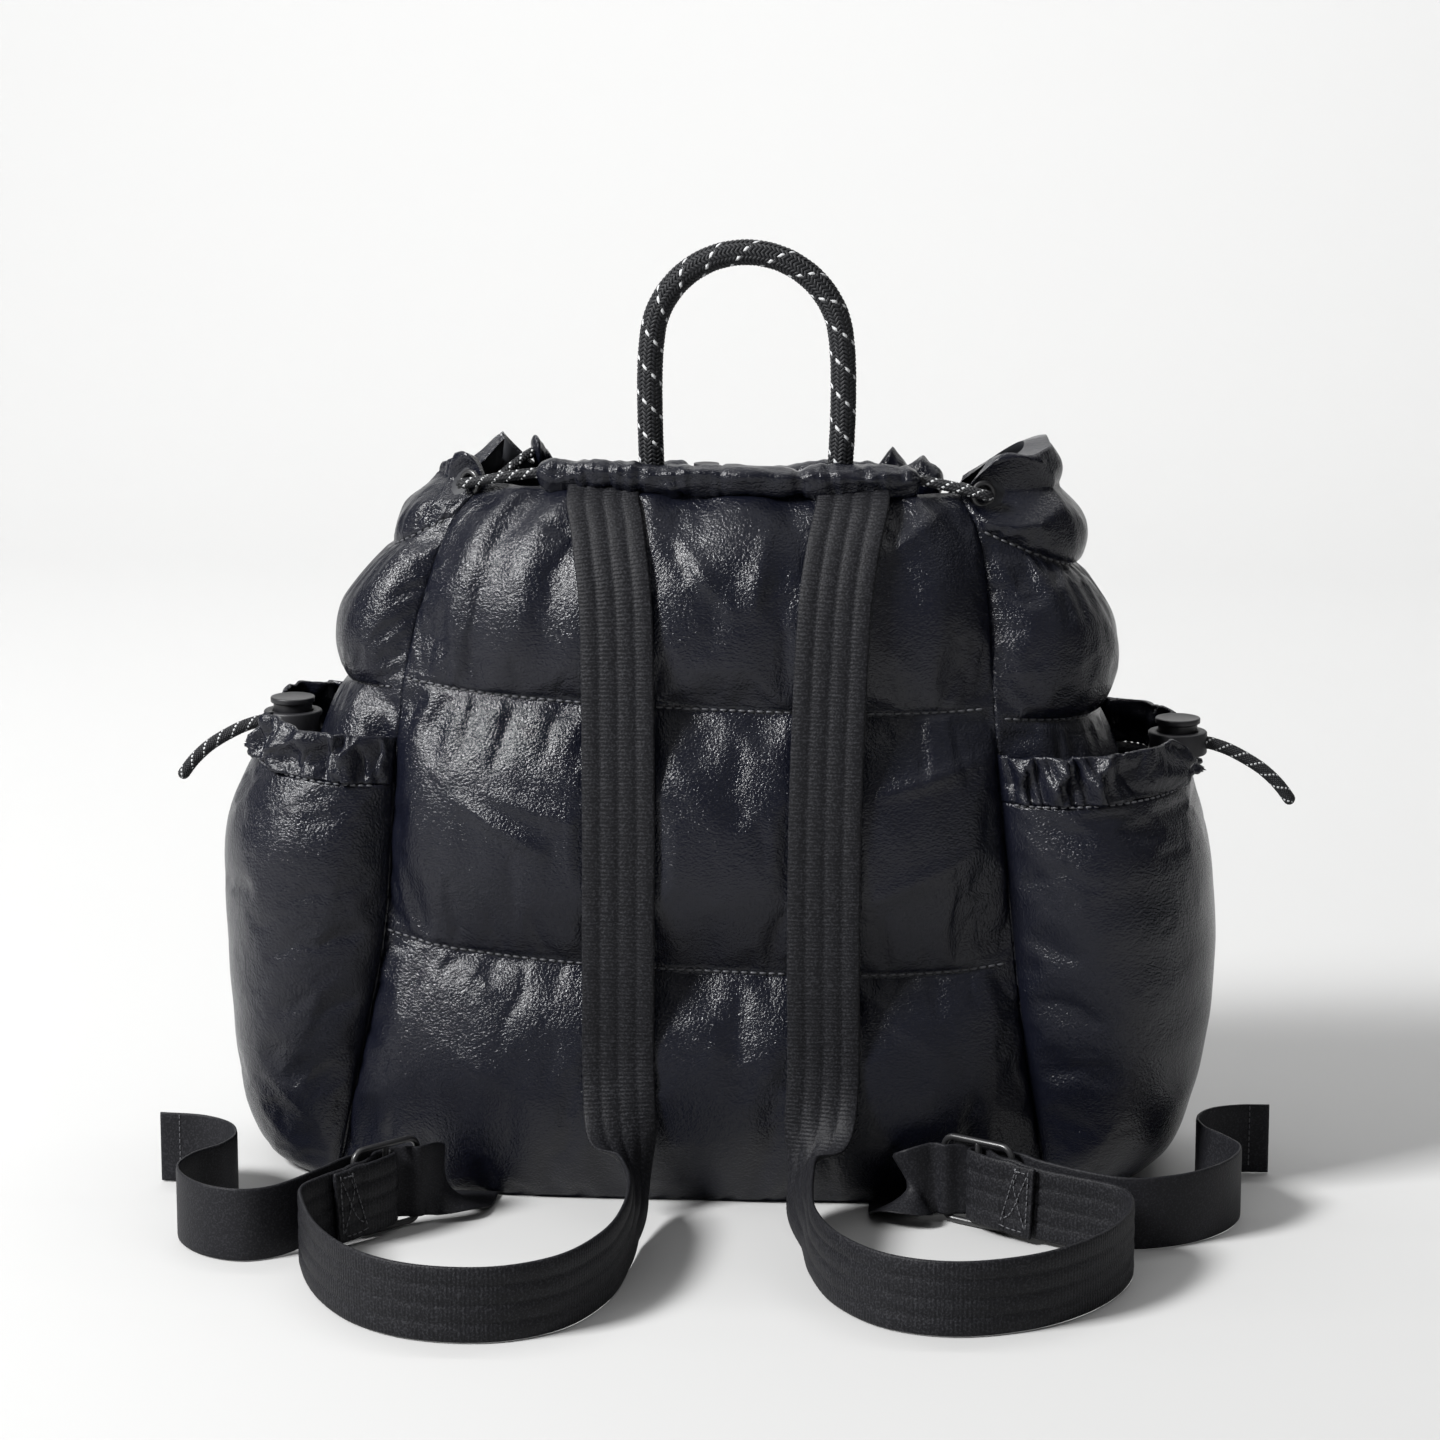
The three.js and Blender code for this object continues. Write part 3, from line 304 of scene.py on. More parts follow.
# Shader helpers
class Value:
    # a socket that can be used in an expression; each operator adds its Math node
    def __init__(self, tree, socket):
        self.tree, self.socket = tree, socket

    def math(self, operation, *others):
        node = self.tree.nodes.new("ShaderNodeMath")
        node.operation = operation
        for slot, value in zip(node.inputs, others):
            plug(self.tree, slot, value)
        return Value(self.tree, node.outputs[0])

    def __add__(self, other):
        return self.math("ADD", self, other)

    def __radd__(self, other):
        return self.math("ADD", other, self)

    def __sub__(self, other):
        return self.math("SUBTRACT", self, other)

    def __rsub__(self, other):
        return self.math("SUBTRACT", other, self)

    def __mul__(self, other):
        return self.math("MULTIPLY", self, other)

    def __rmul__(self, other):
        return self.math("MULTIPLY", other, self)

    def __truediv__(self, other):
        return self.math("DIVIDE", self, other)

    def __pow__(self, other):
        return self.math("POWER", self, other)

    def __gt__(self, other):
        return self.math("GREATER_THAN", self, other)


def plug(tree, slot, value):
    if isinstance(value, Value):
        tree.links.new(value.socket, slot)
    else:
        slot.default_value = value


class Finish:
    # a material: its fixed numbers are set on the shader, what varies is plugged in
    def __init__(self, name, **fixed):
        self.material = bpy.data.materials.new(name)
        self.material.use_nodes = True
        self.tree = self.material.node_tree
        self.shader = self.tree.nodes["Principled BSDF"]
        for label, value in fixed.items():
            self.shader.inputs[label.replace("_", " ")].default_value = value

    def node(self, kind, settings=None, output=0, **sockets):
        made = self.tree.nodes.new(kind)
        for label, value in (settings or {}).items():
            if label == "stops":
                ramp = made.color_ramp
                while len(ramp.elements) < len(value):
                    ramp.elements.new(0.5)
                for stop, (place, shade) in zip(ramp.elements, value):
                    stop.position = place
                    stop.color = (shade, shade, shade, 1)
            else:
                setattr(made, label, value)
        for label, value in sockets.items():
            plug(self.tree, made.inputs[label.replace("_", " ")], value)
        return Value(self.tree, made.outputs[output])

    def feed(self, label, value):
        plug(self.tree, self.shader.inputs[label], value)

    def objectSpace(self, stretch=(1, 1, 1)):
        place = self.node("ShaderNodeTexCoord", output="Object")
        return self.node("ShaderNodeMapping", Vector=place, Scale=stretch)

    def noise(self, where, scale, detail=2.0, rough=0.5, twist=0.0):
        return self.node("ShaderNodeTexNoise", output="Fac", Vector=where, Scale=scale, Detail=detail,
                         Roughness=rough, Distortion=twist)

    def ramp(self, value, stops):
        return self.node("ShaderNodeValToRGB", {"stops": stops}, Fac=value)

    def bump(self, *layers):
        # each layer is a height and how far it stands out, in metres
        normal = None
        for height, reach in layers:
            extra = {} if normal is None else {"Normal": normal}
            normal = self.node("ShaderNodeBump", Strength=1.0, Distance=reach, Height=height, **extra)
        self.feed("Normal", normal)


def colourMix(finish, share, first, second):
    made = finish.tree.nodes.new("ShaderNodeMix")
    made.data_type = "RGBA"
    plug(finish.tree, made.inputs["Factor"], share)
    plug(finish.tree, made.inputs[6], first)
    plug(finish.tree, made.inputs[7], second)
    return Value(finish.tree, made.outputs[2])


# Finishes
def glossyNylon():
    look = {"shadow": (0.0032, 0.0038, 0.0080, 1), "worn": (0.0058, 0.0066, 0.0122, 1),
            "grain": 950, "crinkle": 210, "crease": 55}
    finish = Finish("glossyNylon", IOR=1.5, Specular_IOR_Level=0.4)
    where = finish.objectSpace()
    grain = finish.noise(where, look["grain"], 2, 0.6)
    crinkle = finish.noise(where, look["crinkle"], 3, 0.55, 0.4)
    upright = finish.noise(finish.objectSpace((1, 1, 0.25)), look["crinkle"] * 2.3, 2, 0.5, 0.3)
    crease = finish.noise(where, look["crease"], 2, 0.5, 0.9)
    cloud = finish.noise(where, 22, 2, 0.5)
    finish.feed("Base Color", colourMix(finish, cloud, look["shadow"], look["worn"]))
    finish.feed("Roughness", 0.15 + grain * 0.10 + cloud * 0.07)
    finish.bump((crease, 0.0006), (crinkle, 0.00013), (upright, 0.0001), (grain, 0.00048))
    return finish.material


def ribbedWebbing(name, pitch, light, ribHeight, glintShare):
    # u runs across the webbing and v along it, both in millimetres. The colour has painted highlights on the
    # rib crests and painted glints in specks, with painted shade in the hollows between the ribs.
    finish = Finish(name, IOR=1.45, Specular_IOR_Level=0.2)
    place = finish.node("ShaderNodeUVMap", {"uv_map": "weave"})
    split = finish.node("ShaderNodeSeparateXYZ", Vector=place)
    u, v = split, Value(finish.tree, split.socket.node.outputs["Y"])
    turn = v * (2 * math.pi / pitch)
    rib = turn.math("SINE")
    yarns = (u * (2 * math.pi / 0.95) + turn * 0.5).math("SINE")
    fleck = finish.noise(finish.objectSpace(), 1250, 1, 0.5)
    # painted glints: pale specks of colour that stand in for light caught by the yarns
    glint = finish.ramp(fleck, [(0.50, 0.0), (0.64, 1.0)])
    # painted highlight and shade: the rib crests are coloured lighter than the hollows between them
    crest = finish.ramp(rib * 0.5 + 0.5, [(0.35, 0.0), (0.85, 1.0)])
    dark = (light * 0.25, light * 0.25, light * 0.42, 1)
    paintedHighlight = (light * 7.5, light * 7.6, light * 8.6, 1)
    # the dark webbing colour, lightened towards the painted highlight colour on crests and glints
    finish.feed("Base Color", colourMix(finish, (glint * glintShare + 0.16) * crest, dark, paintedHighlight))
    finish.feed("Roughness", 0.42 + fleck * 0.25)
    finish.bump((rib * 0.5 + 0.5, ribHeight), (yarns * 0.5 + 0.5, 0.0003), (fleck, 0.0002))
    return finish.material


def braidedYarn(name, colour, shine):
    finish = Finish(name, Specular_IOR_Level=0.4)
    where = finish.objectSpace()
    fibre = finish.noise(where, 1900, 2, 0.6)
    patch = finish.noise(where, 160, 1, 0.5)
    darker = tuple(c * 0.55 for c in colour[:3]) + (1,)
    finish.feed("Base Color", colourMix(finish, fibre * 0.6 + patch * 0.4, darker, colour))
    finish.feed("Roughness", shine + fibre * 0.25)
    finish.bump((fibre, 0.00018))
    return finish.material


def plainFinish(name, colour, rough, grain, reach, coat=0.0):
    finish = Finish(name, Coat_Weight=coat, Coat_Roughness=0.25)
    where = finish.objectSpace()
    fine = finish.noise(where, grain, 3, 0.6)
    patch = finish.noise(where, 60, 2, 0.5)
    lighter = tuple(min(1, c * 1.6) for c in colour[:3]) + (1,)
    finish.feed("Base Color", colourMix(finish, patch, colour, lighter))
    finish.feed("Roughness", rough + fine * 0.1 + patch * 0.06)
    finish.bump((fine, reach))
    return finish.material


nylon = glossyNylon()
strapWeave = ribbedWebbing("strapWeave", 1.72, 0.0063, 0.00035, 0.4)
tailWeave = ribbedWebbing("tailWeave", 1.45, 0.0075, 0.0006, 0.25)
yarn = braidedYarn("darkYarn", (0.011, 0.0118, 0.0145, 1), 0.45)
tracer = braidedYarn("paleTracer", (0.72, 0.73, 0.74, 1), 0.5)
# stitching thread: its own dark colour lightened to grey, a painted sheen that stands in for the glints of
# the stitches
threadAndSheen = braidedYarn("seamThreadAndSheen", (0.11, 0.112, 0.122, 1), 0.2)
lining = plainFinish("liningCloth", (0.010, 0.011, 0.014, 1), 0.55, 900, 0.0001)
lockPlastic = plainFinish("lockPlastic", (0.0085, 0.0085, 0.0105, 1), 0.45, 1200, 0.00003)
buttonPlastic = plainFinish("buttonPlastic", (0.008, 0.008, 0.0095, 1), 0.36, 900, 0.00001)
blackMetal = plainFinish("blackMetal", (0.012, 0.012, 0.013, 1), 0.3, 1400, 0.00002, coat=0.4)


def dress(piece, slotName, *materials, body="root"):
    piece.data.materials.clear()
    for material in materials:
        piece.data.materials.append(material)
    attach(piece, body)
    return piece


print("finishes ready")


# Cords
def braid(name, line, shape, step, roundEnds=(False, False)):
    # strands that run both ways round an oval core; in ribs they cross by columns, otherwise one by one
    wide, thick, strands, pitch = shape["width"], shape["thickness"], shape["strands"], shape["pitch"]
    path, at, length = evenly(line, step)
    side, up = framesAlong(path)
    girth = math.pi * (wide + thick) / 2
    yarnWide = 1.04 * girth / strands / math.hypot(1, girth / pitch)
    yarnThick = 0.5 * yarnWide
    taper, tip = np.ones(len(at)), thick * 0.55
    for closed, away in zip(roundEnds, (at, length - at)):
        if closed:
            taper = np.minimum(taper, np.sqrt(np.clip(1 - (1 - np.clip(away / tip, 0, 1)) ** 2, 0.02, 1)))
    points, faces, marks = [], [], []

    def addTube(rings, sides, mark):
        start, count = len(points), len(rings)
        points.extend(rings.reshape(-1, 3).tolist())
        faces.extend(tubeFaces(start, count, sides))
        marks.extend([mark] * ((count - 1) * sides + 2))

    for way in (1, -1):
        for k in range(strands):
            angle = way * 2 * np.pi * at / pitch + 2 * np.pi * k / strands
            turn = strands * angle / 2 if shape["ribs"] else 2 * np.pi * at * strands / pitch
            over = way * np.tanh(2.2 * np.cos(turn)) / math.tanh(2.2)
            outward = side * (np.cos(angle) / wide)[:, None] + up * (np.sin(angle) / thick)[:, None]
            outward /= np.linalg.norm(outward, axis=1, keepdims=True)
            sunk = yarnThick * (0.5 + 0.42 * (1 - over))
            around = side * (np.cos(angle) * wide / 2)[:, None] + up * (np.sin(angle) * thick / 2)[:, None]
            centre = path + (around - outward * sunk[:, None]) * taper[:, None]
            along = np.gradient(centre, axis=0)
            across = np.cross(along, outward)
            across /= np.linalg.norm(across, axis=1, keepdims=True)
            ring = []
            for s in range(shape["sides"]):
                a = 2 * np.pi * (s + 0.5) / shape["sides"]
                ring.append(centre + across * (math.cos(a) * yarnWide / 2 * taper)[:, None]
                            + outward * (math.sin(a) * yarnThick / 2 * taper)[:, None])
            addTube(np.stack(ring, 1), shape["sides"], 1 if way == -1 and k in shape["pale"] else 0)
    # a plain core closes the gaps between the strands
    shrink = 1 - 2.6 * yarnThick / thick
    core = []
    for s in range(12):
        a = 2 * math.pi * s / 12
        edge = side[::3] * (math.cos(a) * wide / 2) + up[::3] * (math.sin(a) * thick / 2)
        core.append(path[::3] + edge * (shrink * taper[::3])[:, None])
    addTube(np.stack(core, 1), 12, 0)
    piece = newPiece(name, points, faces)
    dress(piece, "cord", yarn, tracer)
    piece.data.polygons.foreach_set("material_index", marks)
    return piece, length


pocketCord = {"width": 6.4, "thickness": 5.4, "strands": 12, "pitch": 15, "pale": (0, 6), "sides": 4,
              "ribs": False}
mainCord = {"width": 4.8, "thickness": 4.8, "strands": 8, "pitch": 13, "pale": (0, 4), "sides": 4,
            "ribs": False}
ropeBraid = {"width": 10.8, "thickness": 10.8, "strands": 16, "pitch": 28, "pale": (0, 8), "sides": 5,
             "ribs": True}
# tail of a pocket cord beyond its lock: reach outwards, fall and sweep, from the lock's middle
cordTail = [(11.5, 0, 0), (14, 0.4, 0), (21, 2.6, -0.4), (28, 6, -1), (36, 11, -1.6), (43, 17.5, -2),
            (49, 25.5, -2.2)]
locks = {}
for sideName, out in (("left", -1), ("right", 1)):
    low, high = (np.array(corner) * 1000 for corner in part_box(sideName + "_lock_body"))
    middle = (low + high) / 2
    locks[sideName] = {"at": (middle[0], middle[1]), "bottom": low[2], "height": high[2] - low[2]}
    controls = [(middle[0] + out * reach, middle[1] + sweep, middle[2] - fall)
                for reach, fall, sweep in cordTail]
    line = throughPoints(controls, np.linspace(0, 1, 80))
    tail, length = braid(sideName + "PocketCord", line, pocketCord, 0.26, (False, True))
    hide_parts(sideName + "_pocket_cord")
    line[0] / 1000
    length / 1000
print(f"pocket cords ready, {length:.0f} mm each")

# main drawcord, all the way round inside the hems and through the eyelets
hemShape = {"height": 11, "depth": 10, "lift": 0.3}


def hemPoint(side, rim, along):
    middle = hemShape["lift"] + hemShape["height"] / 2
    return panelPoint(side, along, rim(along), -bag["wall"] / 2) + [0, 0, middle]


def eyeletFrame(side):
    along = 0.085 if side == "right" else 1 - 0.085
    centre = panelPoint(side, along, 0.998)
    normal = panelPoint(side, along, 0.998, 10) - centre
    return centre, normal / np.linalg.norm(normal)


def halfCord(side):
    turnRound = (lambda along: along) if side == "right" else (lambda along: 1 - along)
    centre, normal = eyeletFrame(side)
    route = [hemPoint("front", frontRim, turnRound(along)) for along in np.linspace(0.49, 0.12, 7)]
    route += [panelPoint(side, turnRound(along), 0.98, -inward)
              for along, inward in ((0.93, 13), (0.75, 15), (0.5, 16), (0.3, 17))]
    return route + [centre + normal * out for out in (-16, -6, 4, 8)]


backRun = [hemPoint("back", backRim, along) for along in np.linspace(0.885, 0.175, 9)]
route = halfCord("right") + backRun + halfCord("left")[::-1]
drawcord, length = braid("mainDrawcord", throughPoints(route, np.linspace(0, 1, 1200)), mainCord, 0.8)
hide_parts("main_drawcord")
print(f"drawcord ready, {length:.0f} mm")

# handle rope
handle = {"thickness": 10.8, "span": 79, "rise": 98, "tuck": 14, "middle": 18}
half = handle["span"] / 2
legY = float(panelPoint("back", 0.5, 1.0, -bag["wall"] - bag["fill"] * 0.2)[1]) + handle["thickness"] / 2 + 5
archZ = bag["height"] + handle["rise"] - half
legEnd, legTop = bag["height"] - handle["tuck"], bag["height"] + 12
controls = [(handle["middle"] - half + 2, legY, legEnd), (handle["middle"] - half, legY, legTop)]
for i in range(9):
    angle = math.pi - math.pi * i / 8
    controls.append((handle["middle"] + half * math.cos(angle), legY, archZ + half * math.sin(angle)))
controls += [(handle["middle"] + half - 0.5, legY, legTop), (handle["middle"] + half - 4, legY, legEnd)]
rope, length = braid("ropeHandle", throughPoints(controls, np.linspace(0, 1, 900)), ropeBraid, 0.8)
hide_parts("top_handle")
print(f"handle ready, {length:.0f} mm")


# Quilted cloth
def settleCloth(piece, pins, loose, slack, pressure, frames, bending=0.3):
    # the cloth is cut larger than its frame of seams and blown out; its seams stay where they are
    for label, weights in (("seams", pins), ("loose", loose)):
        group = piece.vertex_groups.new(name=label)
        rounded = np.round(np.asarray(weights, float).ravel(), 1)
        for value in np.unique(rounded):
            group.add(np.where(rounded == value)[0].tolist(), float(value), "REPLACE")
    cloth = piece.modifiers.new("cloth", "CLOTH")
    setup = cloth.settings
    setup.quality, setup.mass = 4, 0.1
    setup.tension_stiffness = setup.compression_stiffness = 15
    setup.shear_stiffness, setup.bending_stiffness = 5, bending
    setup.tension_damping = setup.compression_damping = 5
    setup.air_damping = 2
    setup.vertex_group_mass = "seams"
    setup.use_pressure, setup.uniform_pressure_force = True, pressure
    setup.vertex_group_shrink = "loose"
    setup.shrink_min, setup.shrink_max = slack
    setup.effector_weights.gravity = 0
    cloth.collision_settings.use_collision = False
    cloth.collision_settings.use_self_collision = False
    cloth.point_cache.frame_start, cloth.point_cache.frame_end = 1, frames
    for number in range(1, frames + 1):
        scene.frame_set(number)
    pick(piece)
    bpy.ops.object.modifier_apply(modifier="cloth")
    scene.frame_set(1)
    piece.vertex_groups.clear()


def settledGrid(name, grid, pins, loose, slack, pressure, frames, bending=0.3):
    rows, columns = grid.shape[0] - 1, grid.shape[1] - 1
    piece = newPiece(name, grid, gridFaces(rows, columns))
    settleCloth(piece, pins, loose, slack, pressure, frames, bending)
    co = np.empty(len(piece.data.vertices) * 3)
    piece.data.vertices.foreach_get("co", co)
    bpy.data.meshes.remove(piece.data)
    return co.reshape(grid.shape) * 1000


def keepNear(grid, base, outward, low, high):
    # the cloth stays between two distances from the seams' surface
    stand = np.sum((grid - base) * outward, -1)
    eased = high - 2 + 2 * np.tanh((stand - high + 2) / 2)
    limited = np.where(stand > high - 2, eased, np.maximum(stand, low))
    return grid + outward * (limited - stand)[..., None]


def tangled(u, v, seed, waves):
    # smooth irregular waves, the same each run
    dice = np.random.default_rng(seed)
    total = np.zeros_like(u)
    for size, height in waves:
        for _ in range(4):
            a = dice.uniform(0, 2 * np.pi)
            along = u * np.cos(a) + v * np.sin(a)
            total += height / 4 * np.sin(size * along * 2 * np.pi + dice.uniform(0, 6.28))
    return total


def creased(points, outward, folds):
    # soft folds across a row, each from x, z to x, z with its width and how far it stands out
    for startX, startZ, endX, endZ, width, height in folds:
        runX, runZ = endX - startX, endZ - startZ
        length = math.hypot(runX, runZ)
        fromX, fromZ = points[..., 0] - startX, points[..., 2] - startZ
        share = np.clip((fromX * runX + fromZ * runZ) / length ** 2, 0, 1)
        away = np.abs(fromX * runZ - fromZ * runX) / length
        stand = height * np.exp(-(away / width) ** 1.5) * np.sin(np.pi * share) ** 0.8
        points = points + outward * stand[..., None]
    return points


backFolds = [
    (-103, 174, -59, 149, 3.0, 2.6), (-90, 176, -46, 163, 3.2, 1.8), (-15, 287, 18, 248, 3.0, 2.6),
    (30, 289, 23, 247, 4.0, 2.2),
    (-68, 287, -47, 276, 2.6, -2.0), (73, 270, 100, 291, 5.0, 3.0), (70, 175, 122, 190, 3.4, 2.2),
    (-122, 118, -98, 97, 2.6, 2.0),
    (-112, 118, -84, 88, 2.6, 1.6), (-20, 205, 14, 160, 4.5, 1.4), (66, 130, 118, 152, 4.0, 1.4),
    (-12, 95, 20, 60, 4.5, 1.4),
    (70, 92, 112, 60, 4.5, 1.5), (-108, 70, -60, 40, 4.5, 1.3),
]
clothStride = 4  # cells of the fine face to one of the back
quilts = {
    "back": {"node": "back_panel", "seams": panelSeams, "rim": backRim, "columns": 160, "steps": 52,
             "slack": (-0.012, -0.115), "gather": 0.95, "gathers": 7, "topPuff": 1},
    "front": {"node": "front_panel", "seams": panelSeams, "rim": frontRim, "columns": 120, "steps": 36,
              "slack": (-0.025, -0.12), "gather": 0.9, "gathers": 7, "topPuff": 1},
    "left": {"node": "left_gusset", "seams": gussetSeams, "rim": gussetRimOf("left"), "columns": 92,
             "steps": 36, "slack": (-0.03, -0.15), "gather": 1.0, "topPuff": 0.45},
    "right": {"node": "right_gusset", "seams": gussetSeams, "rim": gussetRimOf("right"), "columns": 92,
              "steps": 36, "slack": (-0.03, -0.15), "gather": 1.0, "topPuff": 1.1},
}


def strapPlan(side, z):
    # where a strap's middle runs down the back panel, and the panel side of it
    tops = strapTops[side]
    heights = np.array([rise * bag["height"] for _, rise in tops])[::-1]
    rows = np.array([onPanel(x, rise) for x, rise in tops])[::-1]
    return np.interp(z, heights, rows[:, 0]), np.interp(z, heights, rows[:, 1])


straps = {"width": 30, "thickness": 2.4, "ease": 1.0, "ribPitch": 1.72, "channels": 4}
strapTops = {
    "left": [(-40, 0.99), (-38, 0.965), (-36, 0.93), (-33, 0.86), (-31, 0.6), (-31, 0.36), (-31, 0.19)],
    "right": [(63, 0.99), (61.5, 0.965), (59.5, 0.93), (57, 0.86), (54, 0.6), (53.5, 0.36), (53.5, 0.19)],
}


def onPanel(x, rise):
    halfWidth = bag["halfWidth"] * between(bodySections, 1, rise)
    halfDepth = bag["halfDepth"] * between(bodySections, 2, rise)
    square = between(bodySections, 3, rise)
    local = (x - bag["lean"] * rise * rise) / halfWidth
    topSeam = panelSeams[-2][0]
    share = (rise - topSeam) / (1 - topSeam)
    crest = bag["puff"] * dome(max(0.5, share))
    fold = 2.4 * min(1, max(0, share))
    y = -halfDepth * (1 - abs(local) ** square) ** (1 / square) - crest - fold
    return np.array([x, float(y) - straps["thickness"] / 2 - straps["ease"], rise * bag["height"]])


quiltRows = {}
for side, plan in quilts.items():
    rows = len(plan["seams"]) - 1
    u, v = np.meshgrid(np.linspace(0, 1, plan["columns"] + 1), np.linspace(0, 1, plan["steps"] * rows + 1))
    rise, row, within = quiltRise(plan["seams"], plan["rim"], u, v)
    border = 1 - np.abs(2 * u - 1) ** 5
    full = dome(within) * border
    top = (row == rows - 1)
    ripple = 0.5 * tangled(u * 2, rise * 2, 11 + len(side), [(3, 1), (7, 0.6)]) * full
    fuller = np.where(top & (rows > 3), dome(within * 0.84) * border, full)
    puff = bag["puff"] * fuller * np.where(top, plan["topPuff"], 1)
    if rows > 3:  # the gusset's top is crumpled by the drawcord
        folds = 2.6 * within * tangled(u * 1.6, within * 0.5, 3 + len(side), [(2, 1), (4.5, 0.8)])
    else:
        folds = 2.4 * within * np.cos(2 * np.pi * plan["gathers"] * u + 1.3 * np.sin(5 * u))
    gathers = np.where(top, folds * border, 0)
    outer = panelPoint(side, u, rise, puff + gathers + ripple)
    base = panelPoint(side, u, rise)
    outward = panelPoint(side, u, rise, 1.0) - base
    seamLine = (within < 1e-6) | (v > 1 - 1e-6) | (u < 1e-6) | (u > 1 - 1e-6)
    nearSeam = np.exp(-np.minimum(within, 1 - within) / 0.12)
    nearEdge = np.exp(-np.minimum(u, 1 - u) / 0.05)
    nearTop = np.clip((v - 0.8) / 0.2, 0, 1) * plan["gather"]
    loose = np.clip(0.04 + 0.2 * nearSeam + 0.2 * nearEdge + nearTop, 0, 1)
    outer = settledGrid(side + "Cloth", outer, seamLine, loose, plan["slack"], 4.5, 24)
    outer = keepNear(outer, base, outward, -1.0, bag["puff"] + 4)
    if side == "back":  # folded across, and pressed in where the straps lie
        outer = creased(outer, outward, backFolds)
        for strap in ("left", "right"):
            middleX, strapY = strapPlan(strap, outer[..., 2])
            beside = np.maximum(np.abs(outer[..., 0] - middleX) - straps["width"] / 2, 0)
            limit = strapY + straps["thickness"] / 2 + 0.35 - 6 * (beside / 8) ** 2
            lower = (outer[..., 2] > 0.19 * bag["height"] - 4) & (beside < 12)
            outer[..., 1] = np.where(lower, np.maximum(outer[..., 1], limit), outer[..., 1])
    if rows > 3:  # drawn in round the eyelet
        away = np.linalg.norm(base - eyeletFrame(side)[0], axis=-1)
        stand = np.sum((outer - base) * outward, -1)
        outer = outer - outward * np.maximum(0, stand - 1.2 - 0.75 * np.maximum(0, away - 7))[..., None]
    ub, vb = u[::clothStride, ::clothStride], v[::clothStride, ::clothStride]
    riseB, _, withinB = quiltRise(plan["seams"], plan["rim"], ub, vb)
    fullB = dome(withinB) * (1 - np.abs(2 * ub - 1) ** 5)
    inner = panelPoint(side, ub, riseB, bag["puff"] * fullB - bag["wall"] - bag["fill"] * fullB)
    inner[-1, :, 2] -= 2.4  # the rim rolls inwards
    cloth, marks = closedSheet(side + "Quilt", outer, inner, clothStride, 1)
    faceOutwards(cloth)
    dress(cloth, "quilted_nylon", nylon, lining)
    cloth.data.polygons.foreach_set("material_index", marks)
    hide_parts(plan["node"])
    quiltRows[side] = outer
    print(side, "quilt ready")

# Side pockets
pocket = {"height": 172, "reach": 42, "wall": 2.6, "ruffleHeight": 19, "folds": 9, "foldDepth": 3.6,
          "dipFrom": 0.14, "dipFlat": 0.06}
mouths = {"left": {"atSeam": -3, "atSide": 1, "dip": 15}, "right": {"atSeam": 3, "atSide": 9, "dip": 13.5}}
# rise, left, right: stand off the gusset as a share of the reach
pocketProfile = [
    (0, 0, 0), (0.04, 0.23, 0.27), (0.1, 0.4, 0.5), (0.2, 0.56, 0.7), (0.42, 0.78, 0.97),
    (0.62, 0.91, 1.09),
    (0.8, 1, 1.08), (0.9, 0.94, 1.03), (1, 0.79, 0.91),
]


def pocketCorner(along):
    return np.maximum(0, 1 - np.abs(2 * along - 1) ** 3) ** 0.75


def gussetSwell(along, rise):
    arch = 1 - (2 * along - 1) ** 2
    swell = np.zeros(np.broadcast(along, rise).shape)
    for (low, lowDip), (high, highDip) in zip(gussetSeams, gussetSeams[1:]):
        a, b = low - lowDip * arch, high - highDip * arch
        share = (rise - a) / (b - a)
        swell = np.where((share >= 0) & (share <= 1), bag["puff"] * dome(share), swell)
    return swell * (1 - np.abs(2 * along - 1) ** 5)


def pocketStand(side, along, height):
    share = height / pocket["height"]
    column = 1 if side == "left" else 2
    reach = pocket["reach"] * between(pocketProfile, column, np.clip(share, 0, 1)) * pocketCorner(along)
    over = np.maximum(0, share - 1) * 0.5 * pocket["reach"] * pocketCorner(along)
    return np.maximum(gussetSwell(along, height / bag["height"]), reach - over) + 0.3 + pocket["wall"]


def ruffleLow(side, along):
    mouth = mouths[side]
    bow = 1 - np.abs(2 * along - 1) ** 1.5
    return pocket["height"] + mouth["atSeam"] + (mouth["atSide"] - mouth["atSeam"]) * bow


def ruffleTop(side, along):
    share = np.clip((pocket["dipFrom"] - np.abs(along - 0.5)) / (pocket["dipFrom"] - pocket["dipFlat"]), 0, 1)
    dip = mouths[side]["dip"] * share * share * (3 - 2 * share)
    return ruffleLow(side, along) + pocket["ruffleHeight"] - dip


